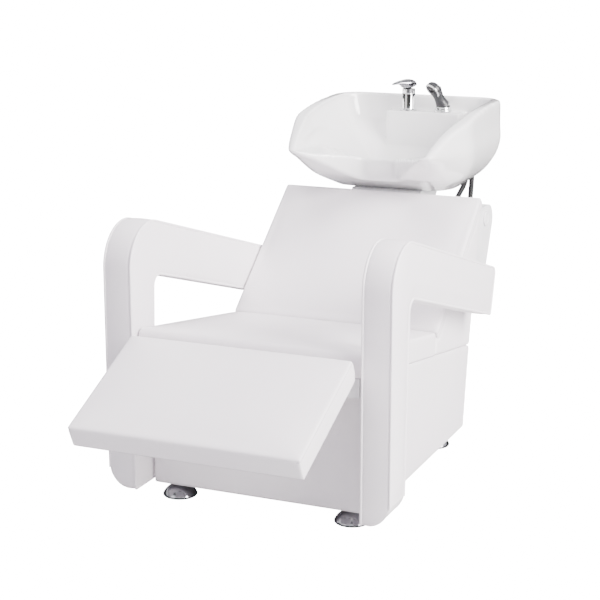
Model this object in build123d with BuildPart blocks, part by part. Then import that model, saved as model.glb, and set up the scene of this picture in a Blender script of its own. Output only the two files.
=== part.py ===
"""Hair washing bed: a padded reclining seat with a ceramic basin behind its head end.

Millimetres, +Z up, +Y towards the basin. The origin lies on the floor, under the middle of the piece.
"""
import math
import os

from build123d import *

os.makedirs("parts", exist_ok=True)

# Driving dimensions: the whole bed
arm_front_y = -436.7
half_inner = 269.0
arm_thickness = 71.0
overrun = 40.0
touch_gap = 0.3

# Driving dimensions: the arms
arm_bottom_z = 37.5
post_depth_foot = 92.0
post_depth_top = 108.0
armrest_front_z = 673.8
armrest_slope = 16.35
armrest_depth = 119.0
armrest_reach = 749.0
arm_front_radius = 97.0
arm_inner_radius = 24.0
arm_end_radius = 20.0
arm_tip_radius = 6.0
arm_foot_radius = 62.0
arm_edge_radius = 5.0

# Driving dimensions: the bolts through the wedge into the arms
bolt_radius = 4.0
bolt_hole_gap = 0.3
bolt_grip = 40.0
bolt_head_radius = 7.0
bolt_head_height = 5.0
bolt_depth_shares = (0.548, 0.71)
bolt_heights = (370.0, 386.0)

# Driving dimensions: the base box and its board
panel_recess = 77.0
panel_thickness = 18.0
base_bottom_z = 31.0
base_length_foot = 670.0
base_length_top = 704.0
seam_front_z = 360.3
seam_slope = 8.8
board_thickness = 15.0
board_side_gap = 8.0
board_end_gap = 12.0
board_start = 14.0

# Driving dimensions: the feet
foot_radius = 40.0
foot_rim_height = 5.0
foot_dome_bulge = 4.0
foot_side_x = 213.0
foot_front_inset = 27.0
foot_rear_inset = 79.0
foot_neck_radius = 12.0
foot_neck_height = 3.0
stem_radius = 5.0
stem_length = 52.0
stem_hole_gap = 0.25
stem_seat = 14.0
nut_radius = 8.5
nut_height = 6.5

# Driving dimensions: the seat
seat_front_inset = 11.0
seat_length = 497.0
seat_thickness = 56.0
seat_crown = 7.0
seat_corner_radius = 13.0
pad_draw = 5.0
pad_shoulder = 22.0
pad_foot_radius = 4.0
pad_turns = (0, 30, 60, 90)
crown_turn = 80
pad_middle_shares = (0.5, 0, -0.5)

# Driving dimensions: the backrest
back_angle = 39.1
back_overhang = 7.4053
back_pad_thickness = 29.0
back_crown = 8.0
back_corner_radius = 13.0
wedge_rear_lean = 12.3
crest_drop = 14.0

# Driving dimensions: the leg rest and its hinges
legrest_angle = 24.9
legrest_length = 307.0
legrest_start = 3.0
legrest_half_width = 259.0
legrest_thickness = 52.5
legrest_board = 15.0
legrest_crown = 5.0
legrest_corner_radius = 12.0
leg_board_inset = 8.0
rail_front_inset = 11.5
rail_depth = 27.0
rail_height = 42.0
rail_end_gap = 6.0
barrel_radius = 5.5
barrel_gap = 0.5
hinge_pin_radius = 2.5
hinge_pin_gap = 0.05
hinge_leaf = 2.0
hinge_leaf_length = 30.0
hinge_side_x = 170.0
knuckle_length = 22.0
knuckle_gap = 0.4
gusset_x = 190.0
gusset_drop = 60.0
gusset_thickness = 18.0

# Driving dimensions: the rear housing and the tilt gear of the basin. From here to the hoses the
# depths are counted so that the rear top edge of the base lies at the first one, and the heights
# so that the peak of the wedge lies at the second
rear_table_depth = 781.0
rear_table_z = 580.6575
housing_half_width = 250.0
housing_wall = 4.0
housing_bottom_z = 330.0
housing_top_z = 568.0
housing_rear_depth = 1014.0
housing_rear_z = 519.0
housing_rear_lean = 24.0
housing_top_radius = 42.0
axle_depth = 945.0
axle_z = 536.0
axle_radius = 10.0
axle_running_gap = 0.05
axle_hole_gap = 0.5
upright_x = 222.0
upright_thickness = 8.0
upright_end_radius = 20.0
upright_foot_z = 392.0
upright_flange = 46.0
cap_radius = 19.0
cap_height = 6.0
cradle_x = 92.0
cradle_thickness = 6.0
cradle_ear_radius = 20.0
cradle_waist = 18.0
cradle_half_depth = 68.0
cradle_shoulder_drop = 14.0
cradle_collar = 16.0
cradle_collar_radius = 17.0
cradle_hole_radius = 30.0
slot_half_width = 112.0
slot_front_gap = 9.0
slot_rear_gap = 5.0

# Driving dimensions: the basin
# Each row: height, then half width and depth at the front, side and back corners, then their radii
basin_rows = (
    (606, 136, 896, 160, 945, 160, 1055, 40, 60, 60),
    (650, 172, 795, 214, 885, 214, 1120, 45, 90, 68),
    (700, 182, 706, 238, 846, 238, 1152, 36, 160, 70),
    (727, 185, 654, 242, 835, 242, 1158, 16, 220, 70),
    (760, 180, 638, 238, 835, 238, 1163, 16, 220, 70),
    (840, 178, 630, 236, 835, 236, 1168, 16, 220, 72),
)
bowl_rows = (
    (643, 52, 905, 83, 935, 83, 1045, 22, 35, 38),
    (697, 50, 815, 137, 890, 138, 1096, 26, 70, 48),
    (727, 174, 652, 165, 820, 166, 1118, 16, 150, 50),
    (760, 176, 630, 190, 840, 191, 1140, 16, 200, 52),
    (840, 180, 600, 213, 845, 213, 1153, 16, 220, 56),
)
basin_row_step = 11.0
rim_line = (
    (600, 690),
    (665, 727),
    (723, 760),
    (812, 793),
    (875, 806),
    (970, 818),
    (1061, 823),
    (1240, 827),
)
notch_half_width = 46.0
notch_depth = 819.0
notch_spread = 116.0
notch_reach = 154.0
notch_mouth_depth = 590.0
notch_radius = 22.0
deck_z = 785.0
deck_front_depth = 1092.0
deck_left_x = -84.0
deck_right_x = 128.0
deck_radius = 10.0
deck_roof = 18.0
tap_room_left_x = -56.0
tap_room_right_x = 118.0
tap_room_front_depth = 1101.0
tap_room_rear_depth = 1143.0
hose_room_right_x = 168.0
hose_room_top_z = 682.0
drain_depth = 977.0
drain_hole_radius = 14.5

# Driving dimensions: the drain and the waste hose
strainer_radius = 24.0
strainer_height = 2.5
strainer_tube_radius = 14.0
strainer_tube_bore = 12.0
strainer_hole_radius = 2.4
strainer_ring_radius = 8.0
strainer_holes = 8
cup_flange_radius = 27.0
cup_flange_height = 5.0
cup_radius = 20.0
cup_height = 31.0
cup_barb_radius = 13.0
cup_barb_bore = 10.0
cup_barb_length = 30.0
waste_hose_radius = 16.0

# Driving dimensions: the mixer
tap_depth = 1118.0
tap_hole_gap = 0.5
tap_nut_radius = 16.5
tap_nut_height = 8.0
mixer_x = -26.0
mixer_turn = 35.0
mixer_radius = 18.0
mixer_height = 48.0
mixer_flange_radius = 23.0
mixer_flange_height = 4.0
mixer_shank_radius = 12.5
mixer_shank_length = 48.0
mark_half_width = 4.0
mark_half_height = 6.5
mark_drop = 11.0
mark_depth = 2.0
cap_gap = 0.3
swivel_radius = 17.5
swivel_height = 10.0
spindle_radius = 8.0
spindle_gap = 0.05
spindle_depth = 14.0
tongue_width = 8.0
tongue_radius = 6.0
tongue_gap = 0.2
lever_pin_radius = 2.0
lever_pin_gap = 0.05
lever_width = 19.0
lever_reach = 52.0
lever_rise = 9.0
lever_tip_radius = 2.5
lever_plan_radius = 8.0
edge_upright_share = 0.8

# Driving dimensions: the hand shower
shower_x = 73.0
shower_ring_radius = 24.0
shower_ring_height = 14.0
shower_shank_radius = 13.0
shower_shank_length = 34.0
shower_stub_radius = 10.0
shower_stub_gap = 0.3
shower_stub_length = 60.0
shower_collar_radius = 15.0
shower_collar_height = 5.0
shower_lean = 30.0
shower_turn = 35.0
shower_handle_length = 62.0
shower_handle_tip_radius = 9.0
shower_head_radius = 23.0
shower_head_depth = 20.0
shower_face_inset = 3.0
shower_hose_radius = 6.0
shower_hose_length = 50.0

# Driving dimensions: the two supply hoses, from the tap room down into the housing
hose_radius = 7.0
hose_bore = 4.5
bend_share = 0.45
grommet_wall = 3.0
grommet_front_depth = 980.0
grommet_rear_depth = 1004.0
hose_union_radius = 10.0
hose_union_length = 18.0
supply_points = (
    (141, 1126, 652),
    (141, 1126, 600),
    (120, 1090, 545),
    (116, 1062, 466),
    (116, 886, 466),
    (116, 886, 352),
)
second_points = (
    (156, 1126, 652),
    (156, 1126, 600),
    (163, 1090, 545),
    (166, 1062, 466),
    (166, 886, 466),
    (166, 886, 352),
)
waste_points = (
    (0, 977, 572),
    (0, 977, 500),
    (0, 888, 430),
    (0, 888, 352),
)

# Places that follow from the driving dimensions
half_width = half_inner + arm_thickness
base_front_y = arm_front_y + panel_recess
base_rear_foot_y = base_front_y + base_length_foot
base_rear_top_y = base_front_y + base_length_top
rail_front_y = arm_front_y + rail_front_inset
pin_y = rail_front_y - barrel_radius - barrel_gap
seat_front_y = arm_front_y + seat_front_inset
seat_end_y = seat_front_y + seat_length * math.cos(math.radians(seam_slope))
bolt_places = [
    (seat_end_y + share * (base_rear_top_y - seat_end_y), z)
    for share, z in zip(bolt_depth_shares, bolt_heights)
]
rear_y = base_rear_top_y - rear_table_depth


def degrees_sin(angle):
    return math.sin(math.radians(angle))


def degrees_cos(angle):
    return math.cos(math.radians(angle))


def seam_z(y):
    """Height of the seam between the base box and the seat at depth y."""
    return seam_front_z - (y - arm_front_y) * math.tan(math.radians(seam_slope))


pin_z = seam_z(rail_front_y)


def slanted(y, z, angle, facing):
    """A sketch plane at (y, z) across the bed, its x axis tipped down by the angle towards the facing."""
    along = (0, facing * degrees_cos(angle), -degrees_sin(angle))
    return Plane(origin=(0, y, z), x_dir=along, z_dir=(facing, 0, 0))


# Arms: an upright post that turns over a wide round into the sloping rest
def armrest_top_z(y):
    return armrest_front_z - (y - arm_front_y) * math.tan(math.radians(armrest_slope))


def arm_outline():
    """The side outline of one arm, in the plane of Y and Z."""
    along_y = degrees_cos(armrest_slope)
    along_z = -degrees_sin(armrest_slope)
    tip_y = arm_front_y + armrest_reach
    tip_top = (tip_y, armrest_top_z(tip_y))
    tip_foot = (tip_y + armrest_depth * along_z, tip_top[1] - armrest_depth * along_y)
    inner_y = arm_front_y + post_depth_top
    inner_z = tip_foot[1] + (tip_foot[0] - inner_y) * math.tan(math.radians(armrest_slope))
    corners = [
        (arm_front_y, arm_bottom_z),
        (arm_front_y, armrest_front_z),
        tip_top,
        tip_foot,
        (inner_y, inner_z),
        (arm_front_y + post_depth_foot, arm_bottom_z),
    ]
    return corners


def build_arm():
    corners = arm_outline()
    with BuildPart() as arm:
        with BuildSketch(Plane.YZ.offset(half_inner)) as outline:
            Polygon(*corners, align=None)
            for corner, radius in (
                (corners[1], arm_front_radius),
                (corners[2], arm_end_radius),
                (corners[3], arm_tip_radius),
                (corners[4], arm_inner_radius),
            ):
                local = outline.vertices().sort_by_distance(Vector(corner[0], corner[1], 0))
                fillet(local[0], radius)
        extrude(amount=arm_thickness)
        foot_edge = arm.edges().filter_by(Axis.Y).group_by(Axis.Z)[0].sort_by(Axis.X)[-1]
        fillet(foot_edge, arm_foot_radius)
        rims = arm.faces().filter_by(Plane.YZ).sort_by(Axis.X)
        fillet(rims[0].edges() + rims[-1].edges(), arm_edge_radius)
        with BuildSketch(Plane.YZ.offset(half_inner)):
            with Locations(*bolt_places):
                Circle(bolt_radius)
        extrude(amount=bolt_grip, mode=Mode.SUBTRACT)
    return arm


arm_right = build_arm()
arm_right.part.label = "arm_right"
export_step(arm_right.part, "parts/arm_right.step")

with BuildPart() as arm_left:
    add(mirror(arm_right.part, about=Plane.YZ, mode=Mode.PRIVATE))
arm_left.part.label = "arm_left"
export_step(arm_left.part, "parts/arm_left.step")


# Base box: a padded plywood box, closed on top by the deck that the seat lies on
def base_rear_y(z, inset):
    """Depth of the base's rear wall at the height z, drawn in by the inset."""
    rise = (z - base_bottom_z) / (seam_z(base_rear_top_y) - base_bottom_z)
    return base_rear_foot_y + rise * (base_length_top - base_length_foot) - inset


def base_corners(inset):
    """Side outline of the base box, drawn in by the inset at the front, top and rear."""
    front = base_front_y + inset
    top = seam_z(base_rear_top_y - inset) - inset
    low = base_bottom_z if inset == 0 else base_bottom_z - overrun
    return [
        (front, low),
        (front, seam_z(front) - inset),
        (base_rear_y(top, inset), top),
        (base_rear_y(low, inset), low),
    ]


with BuildPart() as base_box:
    with BuildSketch(Plane.YZ.offset(-half_inner)):
        Polygon(*base_corners(0), align=None)
    extrude(amount=2 * half_inner)
    with BuildSketch(Plane.YZ.offset(panel_thickness - half_inner)):
        Polygon(*base_corners(panel_thickness), align=None)
    extrude(amount=2 * (half_inner - panel_thickness), mode=Mode.SUBTRACT)
base_box.part.label = "base_box"
export_step(base_box.part, "parts/base_box.step")

# Floor board: fills the open foot of the box and takes the four threaded stems
floor_board_front_y = base_front_y + panel_thickness
floor_board_top_z = base_bottom_z + panel_thickness
foot_places = [
    (side * foot_side_x, y)
    for side in (-1, 1)
    for y in (base_front_y + foot_front_inset, base_rear_foot_y - foot_rear_inset)
]
foot_grid = [Location((x, y)) for x, y in foot_places]

with BuildPart() as floor_board:
    with BuildSketch(Plane.YZ.offset(panel_thickness - half_inner)):
        Polygon(
            (floor_board_front_y, base_bottom_z),
            (floor_board_front_y, floor_board_top_z),
            (base_rear_y(floor_board_top_z, panel_thickness), floor_board_top_z),
            (base_rear_y(base_bottom_z, panel_thickness), base_bottom_z),
            align=None,
        )
    extrude(amount=2 * (half_inner - panel_thickness))
    with BuildSketch(Plane.XY.offset(base_bottom_z)):
        with Locations(*foot_grid):
            Circle(stem_radius + stem_hole_gap)
    extrude(amount=panel_thickness, mode=Mode.SUBTRACT)
floor_board.part.label = "floor_board"
export_step(floor_board.part, "parts/floor_board.step")


# Feet: bright domed cups on threaded stems, locked by a nut over the floor board
def foot_crown():
    """The middle point of the dome's arc, raised off its chord."""
    shoulder = base_bottom_z - foot_neck_height
    run, rise = foot_neck_radius - foot_radius, shoulder - foot_rim_height
    bulge = foot_dome_bulge / math.hypot(run, rise)
    middle = ((foot_neck_radius + foot_radius) / 2, (shoulder + foot_rim_height) / 2)
    return (middle[0] + rise * bulge, middle[1] - run * bulge)


def foot_profile():
    """Half of the domed foot, from its flat sole up to the neck under the board."""
    top = base_bottom_z
    shoulder = top - foot_neck_height
    with BuildLine() as profile:
        Line((0, 0), (foot_radius - foot_neck_height, 0))
        Line((foot_radius - foot_neck_height, 0), (foot_radius, foot_neck_height))
        Line((foot_radius, foot_neck_height), (foot_radius, foot_rim_height))
        ThreePointArc((foot_radius, foot_rim_height), foot_crown(), (foot_neck_radius, shoulder))
        Line((foot_neck_radius, shoulder), (foot_neck_radius, top))
        Line((foot_neck_radius, top), (0, top))
        Line((0, top), (0, 0))
    return profile.edges()


with BuildPart() as one_foot:
    with BuildSketch(Plane.XZ):
        make_face(foot_profile())
    revolve(axis=Axis.Z)
    with BuildSketch(Plane.XY.offset(base_bottom_z)):
        Circle(stem_radius)
    extrude(amount=-stem_seat, mode=Mode.SUBTRACT)

with BuildPart() as feet:
    with Locations(*foot_grid):
        add(one_foot.part)
feet.part.label = "feet"
export_step(feet.part, "parts/feet.step")

stem_foot_z = base_bottom_z - stem_seat
with BuildPart() as foot_stems:
    with BuildSketch(Plane.XY.offset(stem_foot_z)):
        with Locations(*foot_grid):
            Circle(stem_radius)
    extrude(amount=stem_length)
foot_stems.part.label = "foot_stems"
export_step(foot_stems.part, "parts/foot_stems.step")

with BuildPart() as foot_nuts:
    with BuildSketch(Plane.XY.offset(floor_board_top_z)):
        with Locations(*foot_grid):
            RegularPolygon(nut_radius, 6)
            Circle(stem_radius, mode=Mode.SUBTRACT)
    extrude(amount=nut_height)
foot_nuts.part.label = "foot_nuts"
export_step(foot_nuts.part, "parts/foot_nuts.step")


# Pads: each is lofted across the bed, drawn in at its sides and highest in the middle
def pad_section(plane, length, depth, crown, draw, radius):
    """One side outline of a pad, lying on the x axis of its plane."""
    top = depth - draw
    with BuildSketch(plane) as section:
        with BuildLine():
            Line((draw, 0), (length - draw, 0))
            Line((length - draw, 0), (length - draw, top))
            ThreePointArc((length - draw, top), (length / 2, top + crown), (draw, top))
            Line((draw, top), (draw, 0))
        make_face()
        fillet(section.vertices().group_by(Axis.Y)[0], pad_foot_radius)
        fillet(section.vertices().filter_by_position(Axis.Y, depth / 2, 2 * depth), radius)
    return section.sketch.faces()[0]


def pad_sections(plane, half_span, length, depth, crown, radius):
    """The outlines of a pad from one side to the other, rounded in at both sides."""
    stations = []
    for turn in pad_turns:
        place = half_span - pad_shoulder * (1 - degrees_cos(turn))
        stations.append((place, pad_draw * (1 - degrees_sin(turn))))
    stations += [(share * half_span, 0) for share in pad_middle_shares]
    stations += [(-place, draw) for place, draw in reversed(stations[:len(pad_turns)])]
    sections = []
    for place, draw in stations:
        rise = crown * degrees_cos(crown_turn * place / half_span)
        sections.append(pad_section(plane.offset(place), length, depth, rise, draw, radius))
    return sections


def meeting_point(start, angle, other, other_angle):
    """Where two lines in the plane of Y and Z meet, each given by a place and its angle above +Y."""
    across = degrees_cos(angle) * degrees_sin(other_angle) - degrees_sin(angle) * degrees_cos(other_angle)
    span_y = other[0] - start[0]
    span_z = other[1] - start[1]
    reach = (span_y * degrees_sin(other_angle) - span_z * degrees_cos(other_angle)) / across
    return (start[0] + reach * degrees_cos(angle), start[1] + reach * degrees_sin(angle))


# Seat: a plywood board on the seam, carried in front by a rail, under one thick pad
seam_plane = slanted(seat_front_y, seam_z(seat_front_y), seam_slope, 1)
board_half_width = half_inner - board_side_gap

with BuildPart() as seat_board:
    with BuildSketch(seam_plane.offset(-board_half_width)):
        Polygon(
            (board_start, 0),
            (seat_length - board_end_gap, 0),
            (seat_length - board_end_gap, board_thickness),
            (board_start, board_thickness),
            align=None,
        )
    extrude(amount=2 * board_half_width)
seat_board.part.label = "seat_board"
export_step(seat_board.part, "parts/seat_board.step")

with BuildPart() as seat_cushion:
    loft(
        pad_sections(
            seam_plane,
            half_inner - touch_gap,
            seat_length,
            seat_thickness,
            seat_crown,
            seat_corner_radius,
        ),
        ruled=True,
    )
    with BuildSketch(seam_plane.offset(-board_half_width - touch_gap)):
        Polygon(
            (board_start - touch_gap, -overrun),
            (seat_length - board_end_gap + touch_gap, -overrun),
            (seat_length - board_end_gap + touch_gap, board_thickness + touch_gap),
            (board_start - touch_gap, board_thickness + touch_gap),
            align=None,
        )
    extrude(amount=2 * (board_half_width + touch_gap), mode=Mode.SUBTRACT)
seat_cushion.part.label = "seat_cushion"
export_step(seat_cushion.part, "parts/seat_cushion.step")

rail_rear_y = rail_front_y + rail_depth
with BuildPart() as seat_rail:
    with BuildSketch(Plane.YZ.offset(rail_end_gap - half_inner)):
        Polygon(
            (rail_front_y, seam_z(rail_front_y)),
            (rail_rear_y, seam_z(rail_rear_y)),
            (rail_rear_y, seam_z(rail_front_y) - rail_height),
            (rail_front_y, seam_z(rail_front_y) - rail_height),
            align=None,
        )
    extrude(amount=2 * (half_inner - rail_end_gap))
seat_rail.part.label = "seat_rail"
export_step(seat_rail.part, "parts/seat_rail.step")

with BuildPart() as rail_gussets:
    with BuildSketch(Plane.YZ):
        Polygon(
            (rail_rear_y, seam_z(rail_rear_y)),
            (base_front_y, seam_z(base_front_y)),
            (base_front_y, seam_z(base_front_y) - gusset_drop),
            (rail_rear_y, seam_z(rail_front_y) - rail_height),
            align=None,
        )
    extrude(amount=gusset_thickness / 2, both=True)
    gusset = rail_gussets.part
with BuildPart() as rail_gussets:
    with Locations((-gusset_x, 0), (0, 0), (gusset_x, 0)):
        add(gusset)
rail_gussets.part.label = "rail_gussets"
export_step(rail_gussets.part, "parts/rail_gussets.step")

# Backrest: a hollow plywood wedge with a thin pad on its slope
back_foot_y = seat_front_y + seat_length * degrees_cos(seam_slope) + seat_thickness * degrees_sin(seam_slope)
back_foot_z = (
    seam_z(seat_front_y) - seat_length * degrees_sin(seam_slope) + seat_thickness * degrees_cos(seam_slope)
)
back_heel = (
    back_foot_y + back_pad_thickness * degrees_sin(back_angle),
    back_foot_z - back_pad_thickness * degrees_cos(back_angle),
)
back_plane = slanted(back_heel[0], back_heel[1], -back_angle, 1)
wedge_peak = meeting_point(
    back_heel, back_angle, (base_rear_top_y, seam_z(base_rear_top_y)), 90 - wedge_rear_lean
)
back_crest = (
    back_foot_y + crest_drop * degrees_sin(back_angle),
    back_foot_z - crest_drop * degrees_cos(back_angle),
)
base_rear_top = (base_rear_top_y, seam_z(base_rear_top_y))
back_length = math.dist(back_heel, wedge_peak) + back_overhang
wedge_corners = [
    (seat_end_y, seam_z(seat_end_y)),
    back_crest,
    back_heel,
    wedge_peak,
    base_rear_top,
]


def wedge_rear_y(z):
    """Depth of the wedge's leaning rear face at the height z."""
    return base_rear_top[0] + (z - base_rear_top[1]) * math.tan(math.radians(wedge_rear_lean))


hollow_front_y = back_heel[0] + panel_thickness
hollow_low_z = base_rear_top[1] - overrun
slope_inside = (
    back_heel[0] + panel_thickness * degrees_sin(back_angle),
    back_heel[1] - panel_thickness * degrees_cos(back_angle),
)
rear_inside = (base_rear_top[0] - panel_thickness / degrees_cos(wedge_rear_lean), base_rear_top[1])
wedge_hollow = [
    (hollow_front_y, hollow_low_z),
    meeting_point(slope_inside, back_angle, (hollow_front_y, hollow_low_z), 90),
    meeting_point(slope_inside, back_angle, rear_inside, 90 - wedge_rear_lean),
    meeting_point(rear_inside, 90 - wedge_rear_lean, (hollow_front_y, hollow_low_z), 0),
]

with BuildPart() as back_wedge:
    with BuildSketch(Plane.YZ.offset(-half_inner)):
        Polygon(*wedge_corners, align=None)
    extrude(amount=2 * half_inner)
    with BuildSketch(Plane.YZ.offset(panel_thickness - half_inner)):
        Polygon(*wedge_hollow, align=None)
    extrude(amount=2 * (half_inner - panel_thickness), mode=Mode.SUBTRACT)
    with BuildSketch(Plane.YZ.offset(-half_inner)):
        with Locations(*bolt_places):
            Circle(bolt_radius + bolt_hole_gap)
    extrude(amount=2 * half_inner, mode=Mode.SUBTRACT)
back_wedge.part.label = "back_wedge"
export_step(back_wedge.part, "parts/back_wedge.step")

# Arm bolts: from inside the wedge through its sides into the arms
with BuildPart() as side_bolts:
    with BuildSketch(Plane.YZ.offset(half_inner - panel_thickness)):
        with Locations(*bolt_places):
            Circle(bolt_radius)
    extrude(amount=panel_thickness + bolt_grip)
    with BuildSketch(Plane.YZ.offset(half_inner - panel_thickness)):
        with Locations(*bolt_places):
            RegularPolygon(bolt_head_radius, 6)
    extrude(amount=-bolt_head_height)

with BuildPart() as arm_bolts:
    add(side_bolts.part)
    add(mirror(side_bolts.part, about=Plane.YZ, mode=Mode.PRIVATE))
arm_bolts.part.label = "arm_bolts"
export_step(arm_bolts.part, "parts/arm_bolts.step")

with BuildPart() as back_cushion:
    loft(
        pad_sections(
            back_plane,
            half_inner - touch_gap,
            back_length,
            back_pad_thickness,
            back_crown,
            back_corner_radius,
        ),
        ruled=True,
    )
back_cushion.part.label = "back_cushion"
export_step(back_cushion.part, "parts/back_cushion.step")

# Leg rest: a padded board on three butt hinges, drawn in its own plane that starts at the pin
leg_plane = slanted(pin_y, pin_z, legrest_angle, -1)
leg_pad_plane = Plane(
    origin=leg_plane.from_local_coords((legrest_start, barrel_radius, 0)),
    x_dir=leg_plane.x_dir,
    z_dir=leg_plane.z_dir,
)
leg_board_start = legrest_start + leg_board_inset
leg_board_end = legrest_length - leg_board_inset
leg_board_half_width = legrest_half_width - leg_board_inset
leg_board_top = barrel_radius + legrest_board

with BuildPart() as legrest_board_panel:
    with BuildSketch(leg_plane.offset(-leg_board_half_width)):
        Polygon(
            (leg_board_start, barrel_radius),
            (leg_board_end, barrel_radius),
            (leg_board_end, leg_board_top),
            (leg_board_start, leg_board_top),
            align=None,
        )
    extrude(amount=2 * leg_board_half_width)
legrest_board_panel.part.label = "legrest_board"
export_step(legrest_board_panel.part, "parts/legrest_board.step")

with BuildPart() as legrest_cushion:
    loft(
        pad_sections(
            leg_pad_plane,
            legrest_half_width,
            legrest_length - legrest_start,
            legrest_thickness,
            legrest_crown,
            legrest_corner_radius,
        ),
        ruled=True,
    )
    with BuildSketch(leg_plane.offset(-leg_board_half_width - touch_gap)):
        Polygon(
            (leg_board_start - touch_gap, -overrun),
            (leg_board_end + touch_gap, -overrun),
            (leg_board_end + touch_gap, leg_board_top + touch_gap),
            (leg_board_start - touch_gap, leg_board_top + touch_gap),
            align=None,
        )
    extrude(amount=2 * (leg_board_half_width + touch_gap), mode=Mode.SUBTRACT)
legrest_cushion.part.label = "legrest_cushion"
export_step(legrest_cushion.part, "parts/legrest_cushion.step")

# Hinges of the leg rest: two fixed knuckles and a moving one on each pin
hinge_places = (-hinge_side_x, 0, hinge_side_x)
knuckle_pitch = knuckle_length + knuckle_gap
hinge_width = 3 * knuckle_length + 2 * knuckle_gap
hinge_bore = hinge_pin_radius + hinge_pin_gap
knuckle_clear = barrel_radius + knuckle_gap


def knuckle(plane, shift, length, radius):
    """A bar along the pin, centred at the shift from the middle of its hinge."""
    with BuildPart() as bar:
        with BuildSketch(plane.offset(shift - length / 2)):
            Circle(radius)
        extrude(amount=length)
    return bar.part


with BuildPart() as fixed_leaf:
    with BuildSketch(Plane.YZ.offset(-hinge_width / 2)):
        Polygon(
            (rail_front_y - hinge_leaf, pin_z),
            (rail_front_y, pin_z),
            (rail_front_y, pin_z - hinge_leaf_length),
            (rail_front_y - hinge_leaf, pin_z - hinge_leaf_length),
            align=None,
        )
    extrude(amount=hinge_width)
    pin_plane = Plane(origin=(0, pin_y, pin_z), x_dir=(0, 1, 0), z_dir=(1, 0, 0))
    add(knuckle(pin_plane, 0, knuckle_length + 2 * knuckle_gap, knuckle_clear), mode=Mode.SUBTRACT)
    add(knuckle(pin_plane, -knuckle_pitch, knuckle_length, barrel_radius))
    add(knuckle(pin_plane, knuckle_pitch, knuckle_length, barrel_radius))
    add(knuckle(pin_plane, 0, hinge_width, hinge_bore), mode=Mode.SUBTRACT)

with BuildPart() as hinge_fixed_leaves:
    with Locations(*[(x, 0, 0) for x in hinge_places]):
        add(fixed_leaf.part)
hinge_fixed_leaves.part.label = "hinge_fixed_leaves"
export_step(hinge_fixed_leaves.part, "parts/hinge_fixed_leaves.step")

with BuildPart() as moving_leaf:
    with BuildSketch(leg_plane.offset(-hinge_width / 2)):
        Polygon(
            (0, barrel_radius - hinge_leaf),
            (hinge_leaf_length + leg_board_start, barrel_radius - hinge_leaf),
            (hinge_leaf_length + leg_board_start, barrel_radius),
            (0, barrel_radius),
            align=None,
        )
    extrude(amount=hinge_width)
    for shift in (-knuckle_pitch, knuckle_pitch):
        add(knuckle(pin_plane, shift, knuckle_length + 2 * knuckle_gap, knuckle_clear), mode=Mode.SUBTRACT)
    add(knuckle(pin_plane, 0, knuckle_length, barrel_radius))
    add(knuckle(pin_plane, 0, hinge_width, hinge_bore), mode=Mode.SUBTRACT)

with BuildPart() as hinge_moving_leaves:
    with Locations(*[(x, 0, 0) for x in hinge_places]):
        add(moving_leaf.part)
hinge_moving_leaves.part.label = "hinge_moving_leaves"
export_step(hinge_moving_leaves.part, "parts/hinge_moving_leaves.step")

with BuildPart() as hinge_pins:
    for place in hinge_places:
        add(knuckle(pin_plane, place, hinge_width, hinge_pin_radius))
hinge_pins.part.label = "hinge_pins"
export_step(hinge_pins.part, "parts/hinge_pins.step")

# Places behind the wedge: their heights follow its peak
rear_z = wedge_peak[1] - rear_table_z
housing_foot_z = rear_z + housing_bottom_z
housing_roof_z = rear_z + housing_top_z
housing_lean_z = rear_z + housing_rear_z
axle_middle_z = rear_z + axle_z
upright_low_z = rear_z + upright_foot_z
deck_top_z = rear_z + deck_z


def risen(rows):
    """The rows of a table that starts with heights, at their place behind the wedge."""
    return [(rear_z + row[0], *row[1:]) for row in rows]


basin_levels = risen(basin_rows)
bowl_levels = risen(bowl_rows)
rim_places = [(rear_y + depth, rear_z + z) for depth, z in rim_line]

# Rear housing: a folded cover behind the wedge, open in front and below
housing_rear_y = rear_y + housing_rear_depth
axle_y = rear_y + axle_depth
cradle_top_z = basin_levels[0][0]
cradle_low_z = cradle_top_z - cradle_thickness
ear_shoulder_z = cradle_low_z - cradle_shoulder_drop
ear_half_depth = cradle_waist + (cradle_half_depth - cradle_waist) * (housing_roof_z - axle_middle_z) / (
    ear_shoulder_z - axle_middle_z
)
slot_front_y = axle_y - ear_half_depth - slot_front_gap
slot_rear_y = axle_y + ear_half_depth + slot_rear_gap


def housing_outline(inset, margin):
    """Corners of the housing in the plane of Y and Z, drawn in by the inset."""
    lean = math.radians(housing_rear_lean)
    top = housing_roof_z - inset
    foot = housing_foot_z - margin
    rear = housing_rear_y - inset / math.cos(lean)
    return [
        (wedge_rear_y(foot) - margin, foot),
        (wedge_rear_y(top) - margin, top),
        (rear + (top - housing_lean_z) * math.tan(lean), top),
        (rear + (foot - housing_lean_z) * math.tan(lean), foot),
    ]


def housing_face(plane, inset, margin):
    corners = housing_outline(inset, margin)
    with BuildSketch(plane) as outline:
        Polygon(*corners, align=None)
        corner = outline.vertices().sort_by_distance(Vector(*corners[2], 0))[0]
        fillet(corner, housing_top_radius - inset)
    return outline.sketch.faces()[0]


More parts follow.
